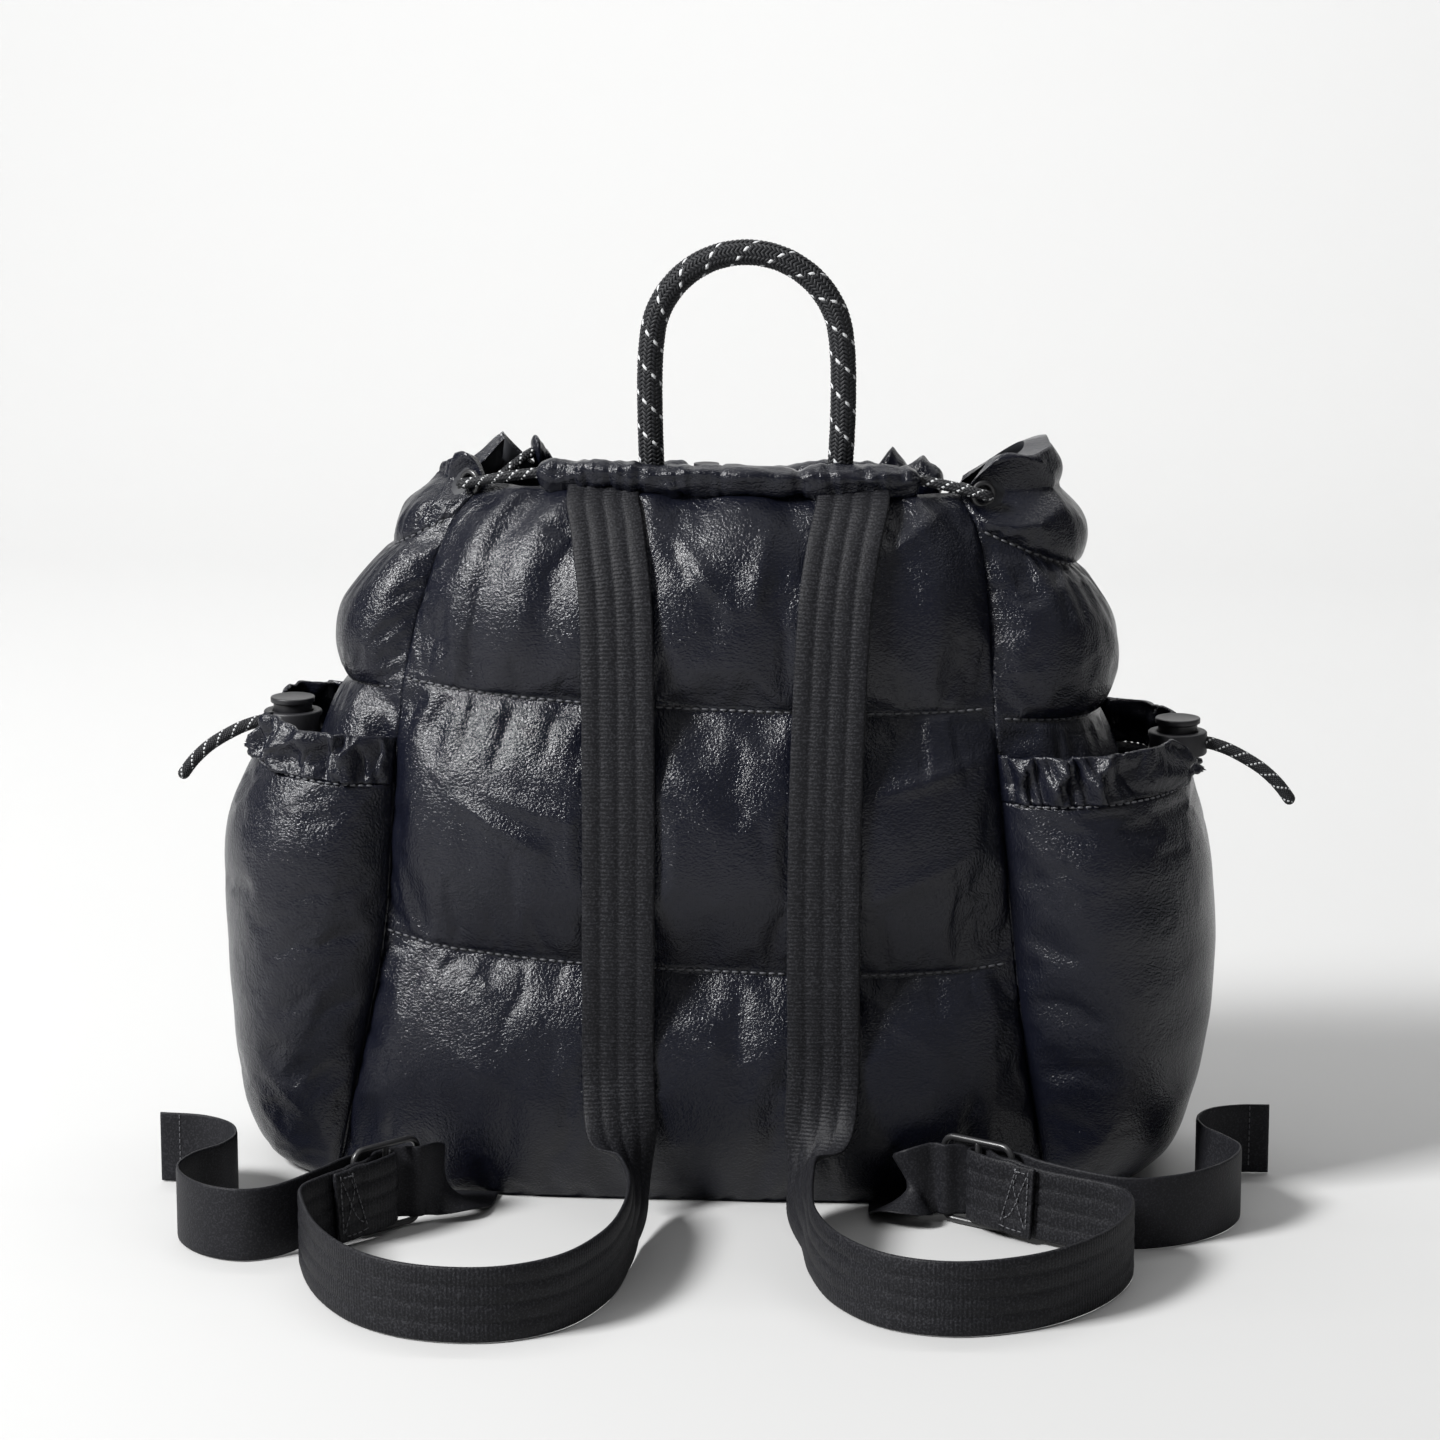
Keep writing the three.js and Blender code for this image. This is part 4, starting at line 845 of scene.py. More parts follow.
pocketGrids = {}
for side in ("left", "right"):
    u, v = np.meshgrid(np.linspace(0, 1, 113), np.linspace(0, 1, 101))
    height = v * (ruffleLow(side, u) - 0.3)
    stand = pocketStand(side, u, height)
    edge = np.minimum(np.minimum(u, 1 - u) / 0.08, 1) * np.minimum(np.minimum(v, 1 - v) / 0.06, 1)
    waves = 0.8 * edge * tangled(u, v * 1.4, 31 + len(side), [(2, 1), (5, 0.7)])
    outer = panelPoint(side, u, height / bag["height"], stand + waves)
    base = panelPoint(side, u, height / bag["height"], stand)
    outward = panelPoint(side, u, height / bag["height"], stand + 1) - base
    border = (v < 1e-6) | (v > 1 - 1e-6) | (u < 1e-6) | (u > 1 - 1e-6)
    nearSides = 0.5 * np.exp(-np.minimum(u, 1 - u) / 0.07)
    nearTop, nearFoot = 0.7 * np.exp(-(1 - v) / 0.06), 0.3 * np.exp(-v / 0.06)
    loose = np.clip(0.25 + nearSides + nearTop + nearFoot, 0, 1)
    outer = settledGrid(side + "PocketCloth", outer, border * 1.0, loose, (-0.01, -0.085), 1.6, 22, 0.2)
    outer = keepNear(outer, base, outward, -5.0, 6.0)
    outer[..., 2] = np.maximum(outer[..., 2], 0.4)
    # the inside follows the cloth, and its wall is thinner at the border
    coarse = (slice(None, None, clothStride), slice(None, None, clothStride))
    wallAt = pocket["wall"] * np.where(border[coarse], 0.6, 0.8)
    inner = outer[coarse] - outward[coarse] * wallAt[..., None]
    inner[..., 2] = np.maximum(inner[..., 2], 0.5)
    cloth = closedSheet(side + "Pocket", outer, inner, clothStride)[0]
    faceOutwards(cloth)
    dress(cloth, "quilted_nylon", nylon)
    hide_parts(side + "_pocket")
    pocketGrids[side] = outer

    # gathered hem of the pocket: more cloth than its seam, so it stands in folds
    u, v = np.meshgrid(np.linspace(0, 1, 281), np.linspace(0, 1, 17))
    low = ruffleLow(side, u)
    height = low + (ruffleTop(side, u) - low) * v
    stand = pocketStand(side, u, height)
    turn = 2 * np.pi * pocket["folds"] * u
    turn = turn + 2.6 * np.sin(2 * np.pi * 2.3 * u + len(side)) + 0.9 * np.sin(14 * u)
    folds = 1 - 2 * np.abs(np.sin(turn / 2 + 0.5 * np.sin(5 * v))) ** 0.75
    finer = np.sin(2.6 * turn + 2.4 * v + 2 * np.sin(9 * u))
    ends = np.minimum(1, np.minimum(u, 1 - u) / 0.035)
    swell = pocket["foldDepth"] * dome(0.08 + 0.84 * v, 0.5) * (folds + 0.4 * finer + 0.5) * ends
    centre = stand - pocket["wall"] / 2 + 2.0 * pocketCorner(u)
    outer = panelPoint(side, u, height / bag["height"], centre + swell)
    base = panelPoint(side, u, height / bag["height"], centre)
    outward = panelPoint(side, u, height / bag["height"], centre + 1) - base
    pins = np.where((v < 1e-6) | (u < 1e-6) | (u > 1 - 1e-6), 1.0, 0.0)
    pins = np.where((v > 1 - 1e-6) & (np.abs(np.sin(np.pi * pocket["folds"] * u)) < 0.12), 0.8, pins)
    loose = np.ones_like(u)
    outer = settledGrid(side + "RuffleCloth", outer, pins, loose, (-0.06, -0.26), 1.0, 18, 0.12)
    outer = keepNear(outer, base, outward, -5.5, 7.5)
    clear = gussetSwell(u, height / bag["height"]) + 1.6
    lowest = panelPoint(side, u, height / bag["height"], clear)
    inside = np.sum((outer - lowest) * outward, -1)
    outer = outer + outward * np.maximum(0, -inside)[..., None]
    ruffle = newPiece(side + "PocketRuffle", outer, gridFaces(16, 280))
    faceOutwards(ruffle)
    pick(ruffle)
    wall = ruffle.modifiers.new("wall", "SOLIDIFY")
    wall.thickness, wall.offset = 0.0013, 0
    bpy.ops.object.modifier_apply(modifier="wall")
    dress(ruffle, "quilted_nylon", nylon)
    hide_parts(side + "_pocket_ruffle")
    print(side, "pocket ready")

# Hems of the rim
for name, side, rim, start, end, node, seed in (
        ("backHem", "back", backRim, 0.165, 0.895, "back_hem", 3),
        ("frontHemRight", "front", frontRim, 0.085, 0.475, "front_hem_right", 5),
        ("frontHemLeft", "front", frontRim, 0.525, 0.9, "front_hem_left", 6)):
    length = 160 if side == "back" else 80
    steps, sides = int(length * 1.6), 28
    t = np.linspace(0, 1, steps + 1)
    turnAt = np.linspace(0, 2 * np.pi, sides, endpoint=False)
    tGrid, angle = np.meshgrid(t, turnAt, indexing="ij")
    alongGrid = start + (end - start) * tGrid
    closing = np.minimum(1, np.minimum(tGrid, 1 - tGrid) / 0.05)
    closing = np.sqrt(np.clip(1 - (1 - closing) ** 2, 0.06, 1))
    pucker = tangled(tGrid * length / 60, angle / 7, seed, [(1.5, 1.0), (4.0, 1.0), (8.0, 0.8)])
    dice = np.random.default_rng(seed)
    for _ in range(int(length / 8)):  # pinched creases that rise from the seam
        middle, depth, tilt = dice.uniform(0.03, 0.97), dice.uniform(0.4, 1.5), dice.uniform(-0.25, 0.25)
        away = np.abs((tGrid - middle) * length - tilt * 6 * np.sin(angle))
        pucker = pucker - depth * np.exp(-(away / 1.5) ** 1.3) * np.clip(0.8 - 0.6 * np.sin(angle), 0, 1)
        pucker = pucker + 0.5 * depth * np.exp(-((away - 3.2) / 1.8) ** 2)
    deep = -1.8 * np.exp(-((tGrid - 0.66) * length / 2.2) ** 2) * (side == "back")
    seamLine = -0.7 * np.exp(-((tGrid - 0.50) * length / 0.8) ** 2) * (side == "back")
    stitched = 0.55 + 0.45 * np.clip(1 - np.abs(np.angle(np.exp(1j * (angle + np.pi / 2)))) / 0.7, 0, 1)
    halfDeep = hemShape["depth"] / 2 + (0.9 if side == "back" else 0)
    across = np.cos(angle) * halfDeep * (1 + 0.3 * np.sin(angle))
    upwards = np.sin(angle) * (hemShape["height"] / 2 + 0.2) * np.where(np.sin(angle) < 0, 1.3, 1)
    swell = 1 + (pucker * 0.22 * stitched + (deep + seamLine) * 0.18)
    rolling = tangled(tGrid * length / 90, 0 * tGrid, seed + 20, [(1.0, 1.0), (2.3, 0.7), (5.0, 0.4)])
    wave = (1.2 if side == "back" else 3.0) * rolling
    lifted = wave * np.clip(np.sin(angle), 0, 1)
    if name == "frontHemRight":  # two peaks beside the right corner
        for peak, reach, high in ((0.135, 0.035, 5.5), (0.2, 0.03, 9)):
            near = np.clip(1 - np.abs(alongGrid - peak) / reach, 0, 1)
            lifted = lifted + high * near * np.clip(0.4 + np.sin(angle), 0, 1)
    standing = across * swell * closing - bag["wall"] / 2 + 0.4 * wave + (1.5 if side == "back" else 0)
    place = panelPoint(side, alongGrid, rim(alongGrid), standing)
    place[..., 2] += upwards * swell * closing + hemShape["lift"] + hemShape["height"] / 2 + lifted
    hem = newPiece(name, place, tubeFaces(0, steps + 1, sides))
    faceOutwards(hem)
    dress(hem, "quilted_nylon", nylon)
    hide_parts(node)
print("hems ready")


# Stitching
def stitchRow(name, line, outward, pitch, length, thick, slotName="quilted_nylon", lift=0.25):
    # short stitches along a line, each lying on the cloth
    path = evenly(line, pitch)[0]
    newShares, oldShares = np.linspace(0, 1, len(path)), np.linspace(0, 1, len(line))
    outAt = np.stack([np.interp(newShares, oldShares, np.asarray(outward)[:, k]) for k in range(3)], 1)
    ahead = np.gradient(path, axis=0)
    points, faces = [], []
    profile = [(-0.5, 0.35), (-0.34, 0.85), (0, 1.0), (0.34, 0.85), (0.5, 0.35)]
    for p, d, n in zip(path[:-1], ahead[:-1], outAt[:-1]):
        d = d / np.linalg.norm(d)
        n = n - d * np.dot(n, d)
        n = n / np.linalg.norm(n)
        w = np.cross(d, n)
        start = len(points)
        for share, size in profile:
            sink = -0.35 * thick * (1 - size)
            for s in range(6):
                a = 2 * math.pi * s / 6
                points.append(p + d * share * length + w * math.cos(a) * thick * 0.55 * size
                              + n * (math.sin(a) * thick * 0.5 * size + lift + sink))
        for r in range(4):
            for s in range(6):
                a, b = start + r * 6 + s, start + r * 6 + (s + 1) % 6
                faces.append((a, a + 6, b + 6, b))
        faces.append(tuple(start + s for s in range(6)))
        faces.append(tuple(start + 24 + s for s in range(5, -1, -1)))
    row = newPiece(name, points, faces)
    faceOutwards(row)
    return dress(row, slotName, threadAndSheen)


def outwardAt(side, share, rise):
    return panelPoint(side, share, rise, 1.0) - panelPoint(side, share, rise, 0.0)


stitching = {"pitch": 3.8, "length": 2.8, "thick": 0.95}
for side, outer in quiltRows.items():
    rows = len(quilts[side]["seams"]) - 1
    steps = quilts[side]["steps"]
    for k in range(1, rows):
        line = outer[k * steps, 3:-3]
        share = np.linspace(0, 1, outer.shape[1])[3:-3]
        stitchRow(f"{side}Stitches{k}", line, outwardAt(side, share, quilts[side]["seams"][k][0]),
                  stitching["pitch"], stitching["length"], stitching["thick"], lift=0.9)
for side, outer in pocketGrids.items():
    line = outer[-1, 2:-2]
    share = np.linspace(0, 1, outer.shape[1])[2:-2]
    around = outwardAt(side, share, 0.58)
    stitchRow(f"{side}RuffleStitches", line + around * 0.5, around, 3.4, 2.3, 0.8, lift=0.5)
print("stitches ready")

# Webbing
footLine = -bag["halfDepth"]
edgeHeight = straps["width"] / 2 + 0.3
slider = {"wire": 2.8, "length": 36, "rise": 38, "foldBack": 31, "lift": 2.8 + 0.6}
sliderPlans = {"left": {"at": (-124, footLine - 45), "run": 227, "turn": 1},
               "right": {"at": (118, footLine - 24), "run": -33, "turn": -1}}
# strap loops and tails on the surface: x, y from the foot of the back panel, z
loopPlans = {
    "left": [(-21, -61, 17), (-21, -92, 15.3), (-26, -130, 15.3), (-40, -161, 15.3), (-60, -176, 15.3),
             (-80, -179, 15.3),
             (-101, -174, 15.3), (-121, -159, 15.3), (-138, -133, 15.3), (-149, -103, 15.8),
             (-152, -85, 16.5)],
    "right": [(50, -65, 17), (54, -95, 15.3), (66, -129, 15.3), (86, -152, 15.3), (111, -159, 15.3),
              (140, -149, 15.3),
              (162, -128, 15.3), (176, -101, 15.3), (180, -79, 15.8), (176, -65, 16.5)],
}
tailAnchors = {
    "left": [(-99, 5, 1.3), (-99, -6, 2), (-100, -15.5, 7.5), (-104, -25, 16)],
    "right": [(87.5, 3.7, 1.3), (87.5, -5, 2), (87.5, -13, 7.5), (91, -18.5, 16)],
}
tailPlans = {
    "left": [(-164, -82), (-176, -88), (-190, -84), (-202, -72), (-208, -56), (-204, -39), (-195, -26),
             (-192, -12),
             (-197, 3), (-210, 13), (-229, 16)],
    "right": [(178, -48), (196, -44), (211, -33), (222, -17), (226, 0), (220, 14), (212, 27), (210, 41),
              (216, 53),
              (228, 59), (241, 60)],
}


def atSlider(side, run, out, height=None):
    plan = sliderPlans[side]
    angle = math.radians(plan["run"])
    x = plan["at"][0] + run * math.cos(angle) - plan["turn"] * out * math.sin(angle)
    y = plan["at"][1] + run * math.sin(angle) + plan["turn"] * out * math.cos(angle)
    return (x, y, edgeHeight + slider["lift"] if height is None else height)


def webbing(name, rows, width, thickness, step, columns, profile):
    # a ribbon along its rows; profile gives the stand-out of both faces from place across and along
    places = np.array([row[0] for row in rows], float)
    acrossRows = np.array([row[1] for row in rows], float)
    acrossRows /= np.linalg.norm(acrossRows, axis=1, keepdims=True)
    t = np.linspace(0, 1, 6000)
    line = throughPoints(places, t)
    run = np.concatenate([[0], np.cumsum(np.linalg.norm(np.diff(line, axis=0), axis=1))])
    count = int(run[-1] / step)
    at = np.linspace(0, run[-1], count + 1)
    tAt = np.interp(at, run, t)
    path = throughPoints(places, tAt)
    after, before = (throughPoints(places, np.clip(tAt + shift, 0, 1)) for shift in (1e-4, -1e-4))
    ahead = after - before
    ahead /= np.linalg.norm(ahead, axis=1, keepdims=True)
    k = np.minimum((tAt * (len(rows) - 1)).astype(int), len(rows) - 2)
    w = (tAt * (len(rows) - 1) - k)[:, None]
    across = acrossRows[k] * (1 - w) + acrossRows[k + 1] * w
    across -= ahead * np.sum(across * ahead, 1, keepdims=True)
    across /= np.linalg.norm(across, axis=1, keepdims=True)
    normal = np.cross(ahead, across)
    u = np.asarray(columns)
    columns = len(u) - 1
    uGrid, atGrid = np.meshgrid(u, at)
    stand = profile(uGrid, atGrid)
    points = []
    for sign in (1, -1):
        face = (path[:, None] + across[:, None] * (uGrid * width)[..., None]
                + normal[:, None] * (sign * (thickness / 2 + stand))[..., None])
        points.append(face.reshape(-1, 3))
    points = np.concatenate(points)
    size = (count + 1) * (columns + 1)
    faces = gridFaces(count, columns) + gridFaces(count, columns, size, True)
    border, other = rimOf(count, columns), rimOf(count, columns, size)
    for i in range(len(border)):
        j = (i + 1) % len(border)
        faces.append((border[j], border[i], other[i], other[j]))
    piece = newPiece(name, points, faces)
    faceOutwards(piece)
    layer = piece.data.uv_layers.new(name="weave")
    flatUv = np.stack([uGrid * width, atGrid], -1).reshape(-1, 2)
    flatUv = np.concatenate([flatUv, flatUv + [0.5, 0.35]])
    loops = np.empty(len(piece.data.loops), int)
    piece.data.loops.foreach_get("vertex_index", loops)
    layer.data.foreach_set("uv", flatUv[loops].ravel())
    return piece, path, across, normal, at


def strapColumns():
    # close together in the grooves and at the edges
    places = {-0.5, -0.475, 0.475, 0.5, -0.375, -0.125, 0.125, 0.375}
    for groove in (-0.25, 0, 0.25):
        places |= {groove - 0.028, groove, groove + 0.028}
    return sorted(places)


def strapProfile(u, at):
    # crosswise ribs, four channels and a bound edge
    rib = 0.3 * (np.abs(np.sin(np.pi * at / straps["ribPitch"])) - 0.6)
    groove = sum(np.exp(-((u - k * 0.25) * straps["width"] / 0.62) ** 2) for k in (-1, 0, 1))
    channel = 0.12 * (np.abs(np.sin(4 * np.pi * u)) ** 0.6 - 0.5)
    edge = np.clip((0.5 - np.abs(u)) * straps["width"] / 0.9, 0, 1)
    return (rib * (1 - 0.5 * groove) + channel) * edge - 0.42 * groove - 0.5 * (1 - edge)


def tailProfile(u, at):
    edge = np.clip((0.5 - np.abs(u)) * straps["width"] / 1.2, 0, 1)
    return -0.25 * (1 - edge) + 0 * at


def crossStitches(name, path, across, normal, at, start, end, width, faceShift):
    # a sewn box with a cross in it, on both faces of a ribbon
    def spot(a, o, sign):
        i = min(len(at) - 1, max(0, int(np.searchsorted(at, a))))
        return path[i] + across[i] * o + normal[i] * sign * faceShift, normal[i] * sign
    half = width / 2 - 2.5
    for sign in (1, -1):
        runs = [[(start, -half), (start, half)], [(end, -half), (end, half)], [(start, -half), (end, -half)],
                [(start, half), (end, half)], [(start, -half), (end, half)], [(start, half), (end, -half)]]
        for number, ((a0, o0), (a1, o1)) in enumerate(runs):
            spots = [spot(a0 + (a1 - a0) * k / 12, o0 + (o1 - o0) * k / 12, sign) for k in range(13)]
            face = "Front" if sign > 0 else "Back"
            yield f"{name}{face}{number}", [s[0] for s in spots], [s[1] for s in spots]


for side in ("left", "right"):
    hand = 1 if side == "left" else -1
    wrap = slider["wire"] / 2 + straps["thickness"] / 2 + 0.9
    layer = straps["thickness"] + 0.6
    bar = slider["length"] / 2
    back = slider["foldBack"]
    foot = onPanel(*strapTops[side][-1])
    onEdge = (0, 0, -1)
    rows = [(onPanel(x, rise), (hand, 0, 0)) for x, rise in strapTops[side]]
    rows = [(rows[0][0] + [0, 9.5, 6.5], (hand, 0, 0))] + rows  # tucked under the hem
    rows += [((foot[0] + hand * 2, foot[1] - 7, 34), (hand * 0.86, 0.1, -0.5)),
             ((foot[0] + hand * 7, foot[1] - 20, 22), (hand * 0.45, 0.1, -0.9))]
    x, y, z = loopPlans[side][0]
    rows += [((x, footLine + y, z), (hand * 0.1, 0, -1))]
    rows += [((x, footLine + y, z), onEdge) for x, y, z in loopPlans[side][1:]]
    rows += [(atSlider(side, run, out, edgeHeight + slider["lift"] + drop), onEdge) for run, out, drop in (
        (back + 4, wrap, -1.6), (back - 10, wrap, -0.6), (bar + 1, wrap, 0), (bar - 3.3, wrap + 0.2, 0),
        (7, -0.2, 0), (3.4, -wrap * 0.85, 0), (0, -wrap, 0), (-wrap * 0.76, -wrap * 0.7, 0),
        (-wrap - 0.1, 0, 0),
        (-wrap * 0.76, wrap * 0.7, 0), (0, wrap + 0.2, 0), (5, wrap + 1.7, 0),
        (bar - 3.3, wrap + layer + 0.4, 0),
        (bar + 1, wrap + layer, 0), (back - 10, wrap + layer, -0.6), (back, wrap + layer, -1.2))]
    strap, path, across, normal, at = webbing(
        side + "Strap", rows, straps["width"], straps["thickness"] - 0.5, straps["ribPitch"] / 4,
        strapColumns(), strapProfile)
    dress(strap, "strap_webbing", strapWeave)
    print(f"{side} strap {at[-1]:.0f} mm")
    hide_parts(side + "_shoulder_strap")
    for name, line, outward in crossStitches(side + "BoxStitch", path, across, normal, at, at[-1] - 12,
                                             at[-1] - 2.5, straps["width"], straps["thickness"] / 2 - 0.1):
        stitchRow(name, line, outward, 2.6, 2.0, 0.6, "strap_webbing", 0.05)

    behind = -(wrap + straps["thickness"] / 2 + 0.8 + 0.6)
    before = slider["wire"] / 2 + 0.8 + 0.3
    turns = [(hand, 0, 0), (hand, 0, -0.05), (hand * 0.8, -0.1, -0.45), (hand * 0.15, -0.1, -1)]
    rows = [((x, footLine + y, z), turns[i]) for i, (x, y, z) in enumerate(tailAnchors[side])]
    rows += [(atSlider(side, run, out, edgeHeight + slider["lift"] + drop), onEdge) for run, out, drop in (
        (-bar - 1, before + 0.6, 0), (-bar + 3.3, before + 0.6, 0), (-bar + 8, -1.6, 0),
        (-3.5, behind * 0.84, 0),
        (0, behind, 0), (bar, behind + 0.6, 0), (back - 6, behind + 1, -0.9))]
    rows += [((x, footLine + y, edgeHeight), onEdge) for x, y in tailPlans[side]]
    tail, path, across, normal, at = webbing(
        side + "Tail", rows, straps["width"], 1.35, 1.2,
        [-0.5, -0.475, *np.linspace(-0.45, 0.45, 9), 0.475, 0.5], tailProfile)
    dress(tail, "tail_webbing", tailWeave)
    print(f"{side} tail {at[-1]:.0f} mm")
    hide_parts(side + "_tail_webbing")
    for sign in (1, -1):
        i = int(np.searchsorted(at, at[-1] - 9))
        spots = [path[i] + across[i] * o + normal[i] * sign * 0.75 for o in np.linspace(-13.5, 13.5, 9)]
        face = "Front" if sign > 0 else "Back"
        stitchRow(f"{side}TailHem{face}", spots, [normal[i] * sign] * 9, 2.6, 2.0, 0.5, "tail_webbing", 0.05)
print("webbing ready")


# Hard parts
def settlePlace(piece, matrix):
    # the piece goes to its place inside its mesh, and its object to the origin
    piece.data.transform(matrix @ piece.matrix_world)
    piece.matrix_world = Matrix.Identity(4)
    piece.data.update()


def joined(name, *parts):
    pick(*parts)
    bpy.ops.object.join()
    parts[0].name = name
    parts[0].data.name = name
    return parts[0]


def pickFlat(piece, way):
    # in edit mode: the flat faces that look up (1) or down (-1)
    bpy.ops.mesh.select_all(action="DESELECT")
    mesh = bmesh.from_edit_mesh(piece.data)
    for face in mesh.faces:
        face.select_set(face.normal.z * way > 0.9)
    bmesh.update_edit_mesh(piece.data)


def roundEdges(piece, width):
    edges = piece.modifiers.new("edges", "BEVEL")
    edges.width, edges.segments, edges.limit_method = width, 3, "ANGLE"
    edges.angle_limit = math.radians(40)
    bpy.ops.object.modifier_apply(modifier="edges")


lockButton = {"radius": 0.0095, "height": 0.0024, "edge": 0.0012, "shank": 0.0055}
for side in ("left", "right"):
    # slider: a bent wire frame with a middle bar, standing on its edge
    size = {"corner": 0.005, "wire": slider["wire"] / 2000}
    pick(bpy.data.objects[side + "Strap"])
    bpy.ops.mesh.primitive_plane_add(size=1)
    frameWire = bpy.context.object
    frameWire.scale = (*((slider[key] - slider["wire"]) / 1000 for key in ("length", "rise")), 1)
    bpy.ops.object.transform_apply(location=False, rotation=False, scale=True)
    bpy.ops.object.mode_set(mode="EDIT")
    bpy.ops.mesh.select_all(action="SELECT")
    bpy.ops.mesh.bevel(offset=size["corner"], segments=6, affect="VERTICES")
    bpy.ops.mesh.select_all(action="SELECT")
    bpy.ops.mesh.delete(type="ONLY_FACE")
    bpy.ops.object.mode_set(mode="OBJECT")
    bpy.ops.object.convert(target="CURVE")
    frameWire.data.bevel_depth, frameWire.data.bevel_resolution = size["wire"], 4
    bpy.ops.object.convert(target="MESH")
    barLength = (slider["rise"] - slider["wire"] - 1) / 1000
    bpy.ops.mesh.primitive_cylinder_add(vertices=20, radius=size["wire"] * 0.94, depth=barLength,
                                        rotation=(math.pi / 2, 0, 0))
    middleBar = bpy.context.object
    bpy.ops.object.transform_apply(location=False, rotation=True, scale=True)
    ends = middleBar.modifiers.new("ends", "BEVEL")
    ends.width, ends.segments, ends.limit_method = 0.0004, 2, "ANGLE"
    bpy.ops.object.modifier_apply(modifier="ends")
    wireFrame = joined(side + "Slider", frameWire, middleBar)
    wireFrame.data.polygons.foreach_set("use_smooth", [True] * len(wireFrame.data.polygons))
    plan = sliderPlans[side]
    level = (0.3 + slider["rise"] / 2) / 1000
    upright = (Matrix.Translation((plan["at"][0] / 1000, plan["at"][1] / 1000, level))
               @ Matrix.Rotation(math.radians(plan["run"]), 4, "Z") @ Matrix.Rotation(math.pi / 2, 4, "X"))
    settlePlace(wireFrame, upright)
    dress(wireFrame, "black_metal", blackMetal)
    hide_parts(side + "_strap_slider")

    # cord lock: a round body with a slot for the cord and a button on its top
    lock = locks[side]
    shape = {"radius": 0.0125, "height": lock["height"] / 1000, "well": 0.0086, "wellDepth": 0.0065,
             "slot": (0.03, 0.008, 0.006)}
    pick(wireFrame)
    bpy.ops.mesh.primitive_cylinder_add(vertices=64, radius=shape["radius"], depth=shape["height"])
    body = bpy.context.object
    bpy.ops.object.mode_set(mode="EDIT")
    pickFlat(body, 1)
    bpy.ops.mesh.inset(thickness=shape["radius"] - shape["well"], depth=0)
    bpy.ops.mesh.extrude_region_move(TRANSFORM_OT_translate={"value": (0, 0, -shape["wellDepth"])})
    bpy.ops.object.mode_set(mode="OBJECT")
    roundEdges(body, 0.0009)
    bpy.ops.mesh.primitive_cube_add(size=1)
    cutter = bpy.context.object
    cutter.scale = shape["slot"]
    bpy.ops.object.transform_apply(location=False, rotation=False, scale=True)
    rounding = cutter.modifiers.new("rounding", "BEVEL")
    rounding.width, rounding.segments = 0.0026, 5
    bpy.ops.object.modifier_apply(modifier="rounding")
    pick(body)
    cut = body.modifiers.new("slot", "BOOLEAN")
    cut.operation, cut.object, cut.solver = "DIFFERENCE", cutter, "EXACT"
    bpy.ops.object.modifier_apply(modifier="slot")
    bpy.data.objects.remove(cutter)
    pick(body)
    bpy.ops.object.shade_smooth_by_angle(angle=math.radians(35))
    body.name = side + "LockBody"
    level = (lock["bottom"] + lock["height"] / 2) / 1000
    middle = Vector((lock["at"][0] / 1000, lock["at"][1] / 1000, level))
    settlePlace(body, Matrix.Translation(middle))
    dress(body, "lock_plastic", lockPlastic)
    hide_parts(side + "_lock_body")

    low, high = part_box(side + "_lock_button")
    pick(body)
    bpy.ops.mesh.primitive_cylinder_add(vertices=64, radius=lockButton["radius"], depth=lockButton["height"])
    button = bpy.context.object
    bpy.ops.object.mode_set(mode="EDIT")
    pickFlat(button, 1)
    bpy.ops.mesh.inset(thickness=lockButton["edge"], depth=0)
    bpy.ops.mesh.inset(thickness=0.0006, depth=-0.0002)
    pickFlat(button, -1)
    bpy.ops.mesh.inset(thickness=lockButton["edge"], depth=0)
    bpy.ops.mesh.extrude_region_move(TRANSFORM_OT_translate={"value": (0, 0, -lockButton["shank"])})
    bpy.ops.object.mode_set(mode="OBJECT")
    roundEdges(button, 0.0005)
    bpy.ops.object.shade_smooth_by_angle(angle=math.radians(35))
    button.name = side + "LockButton"
    raised = Vector((0, 0, high.z - lockButton["height"] / 2))
    settlePlace(button, Matrix.Translation(((low + high) / 2).to_2d().to_3d() + raised))
    dress(button, "button_plastic", buttonPlastic, body=side + "_button")
    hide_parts(side + "_lock_button")

    # eyelet: a rolled rim outside the cloth and a short barrel through it
    centre, normal = eyeletFrame(side)
    pick(button)
    bpy.ops.mesh.primitive_torus_add(major_radius=0.00465, minor_radius=0.00115, major_segments=48,
                                     minor_segments=16)
    ring = bpy.context.object
    ring.scale = (1, 1, 0.9)
    bpy.ops.object.transform_apply(location=False, rotation=False, scale=True)
    bpy.ops.mesh.primitive_cylinder_add(vertices=40, radius=0.0045, depth=0.0046,
                                        end_fill_type="NOTHING", location=(0, 0, -0.0024))
    barrel = bpy.context.object
    wall = barrel.modifiers.new("wall", "SOLIDIFY")
    wall.thickness, wall.offset = 0.0009, -1
    bpy.ops.object.modifier_apply(modifier="wall")
    bpy.ops.object.transform_apply(location=True, rotation=True, scale=True)
    eyelet = joined(side + "Eyelet", ring, barrel)
    eyelet.data.polygons.foreach_set("use_smooth", [True] * len(eyelet.data.polygons))
    spin = Vector((0, 0, 1)).rotation_difference(Vector(normal)).to_matrix().to_4x4()
    settlePlace(eyelet, Matrix.Translation(Vector((centre + normal * 2.9) / 1000)) @ spin)
    dress(eyelet, "black_metal", blackMetal)
    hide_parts(side + "_eyelet")
print("locks, sliders and eyelets ready")

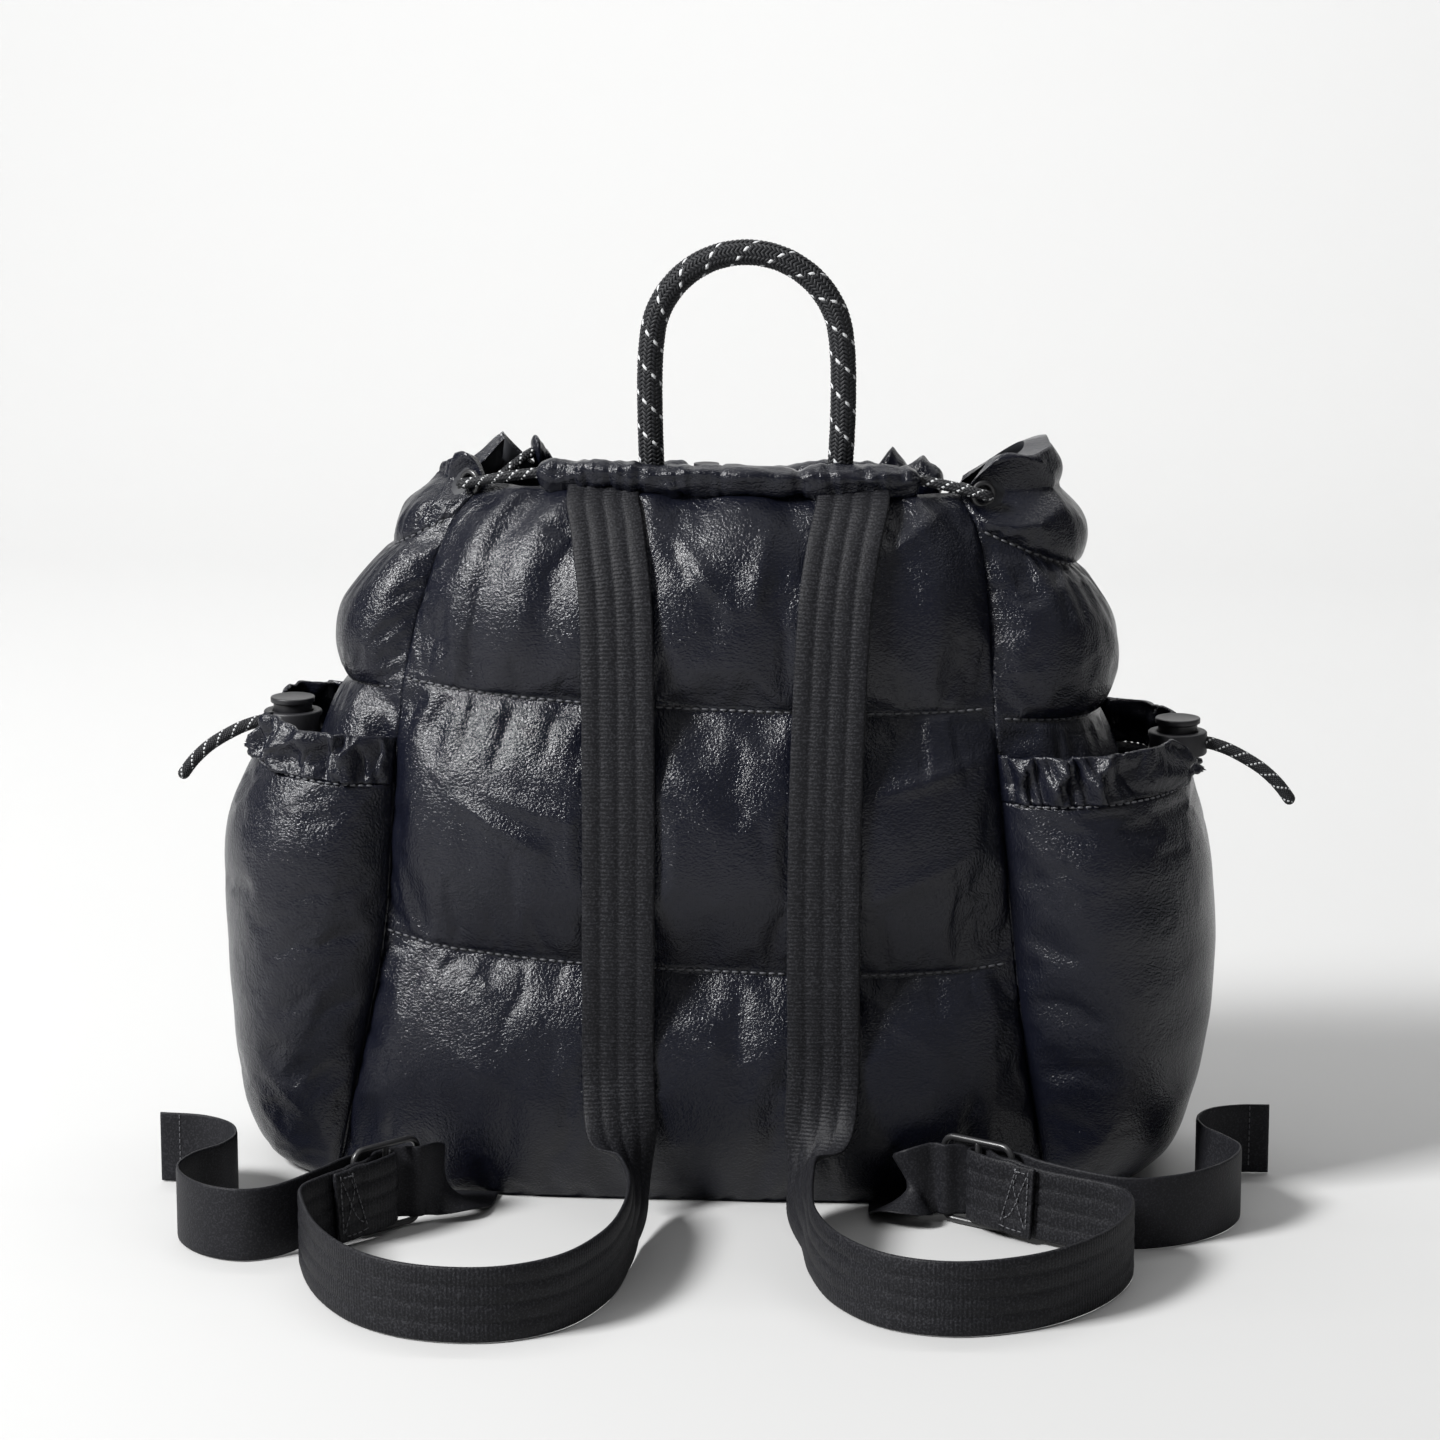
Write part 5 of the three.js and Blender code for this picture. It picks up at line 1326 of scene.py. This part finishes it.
# Pieces kept from the solids
for name, material in (("base_panel", lining), ("front_lock", lockPlastic)):
    kept = bpy.data.objects[name]
    kept.data.materials.clear()
    kept.data.materials.append(material)
print("kept pieces ready")

# Floor, backdrop and light
studio = {"floor": (0.51, 0.51, 0.507, 1), "sky": 0.07, "key": 150, "top": 18, "fill": 1.8, "back": 64,
          "width": 9, "near": -3.5, "far": 2.6, "rise": 3.6, "curve": 1.1}
floorFinish = Finish("paleFloor", Roughness=0.8, Specular_IOR_Level=0.2)
floorFinish.shader.inputs["Base Color"].default_value = studio["floor"]
rows = [(studio["near"], -0.0003), (-1.0, -0.0003), (studio["far"] - studio["curve"], -0.0003)]
for i in range(1, 13):  # the floor sweeps up into the backdrop
    angle = math.pi / 2 * i / 12
    rows.append((studio["far"] - studio["curve"] + studio["curve"] * math.sin(angle),
                 -0.0003 + studio["curve"] * (1 - math.cos(angle))))
rows.append((studio["far"], studio["rise"]))
half = studio["width"] / 2 * 1000
corners = [(x, y * 1000, z * 1000) for y, z in rows for x in (-half, half)]
sweep = newPiece("floorSweep", corners, gridFaces(len(rows) - 1, 1))
sweep.data.materials.append(floorFinish.material)


def softbox(name, place, aim, size, power):
    lamp = bpy.data.lights.new(name, "AREA")
    lamp.shape, lamp.size, lamp.size_y = "RECTANGLE", size[0], size[1]
    lamp.energy = power
    holder = bpy.data.objects.new(name, lamp)
    scene.collection.objects.link(holder)
    holder.location = place
    holder.rotation_mode = "QUATERNION"
    holder.rotation_quaternion = (Vector(aim) - Vector(place)).to_track_quat("-Z", "Y")


softbox("keyLight", (-1.88, -1.28, 1.95), (0, 0, 0.15), (0.75, 0.75), studio["key"])
softbox("topLight", (0.0, 0.15, 1.9), (0, 0.1, 0.1), (3.4, 2.4), studio["top"])
softbox("fillLight", (1.5, -1.6, 0.9), (0, 0, 0.15), (1.0, 1.0), studio["fill"])
softbox("backLight", (0.0, 1.0, 2.3), (0, 2.6, 0.9), (3.0, 0.6), studio["back"])
world = bpy.data.worlds.new("world")
world.use_nodes = True
world.node_tree.nodes["Background"].inputs["Color"].default_value = (0.96, 0.97, 1, 1)
world.node_tree.nodes["Background"].inputs["Strength"].default_value = studio["sky"]
scene.world = world
scene.view_settings.view_transform = "Standard"
print("studio ready")

unpickAll()
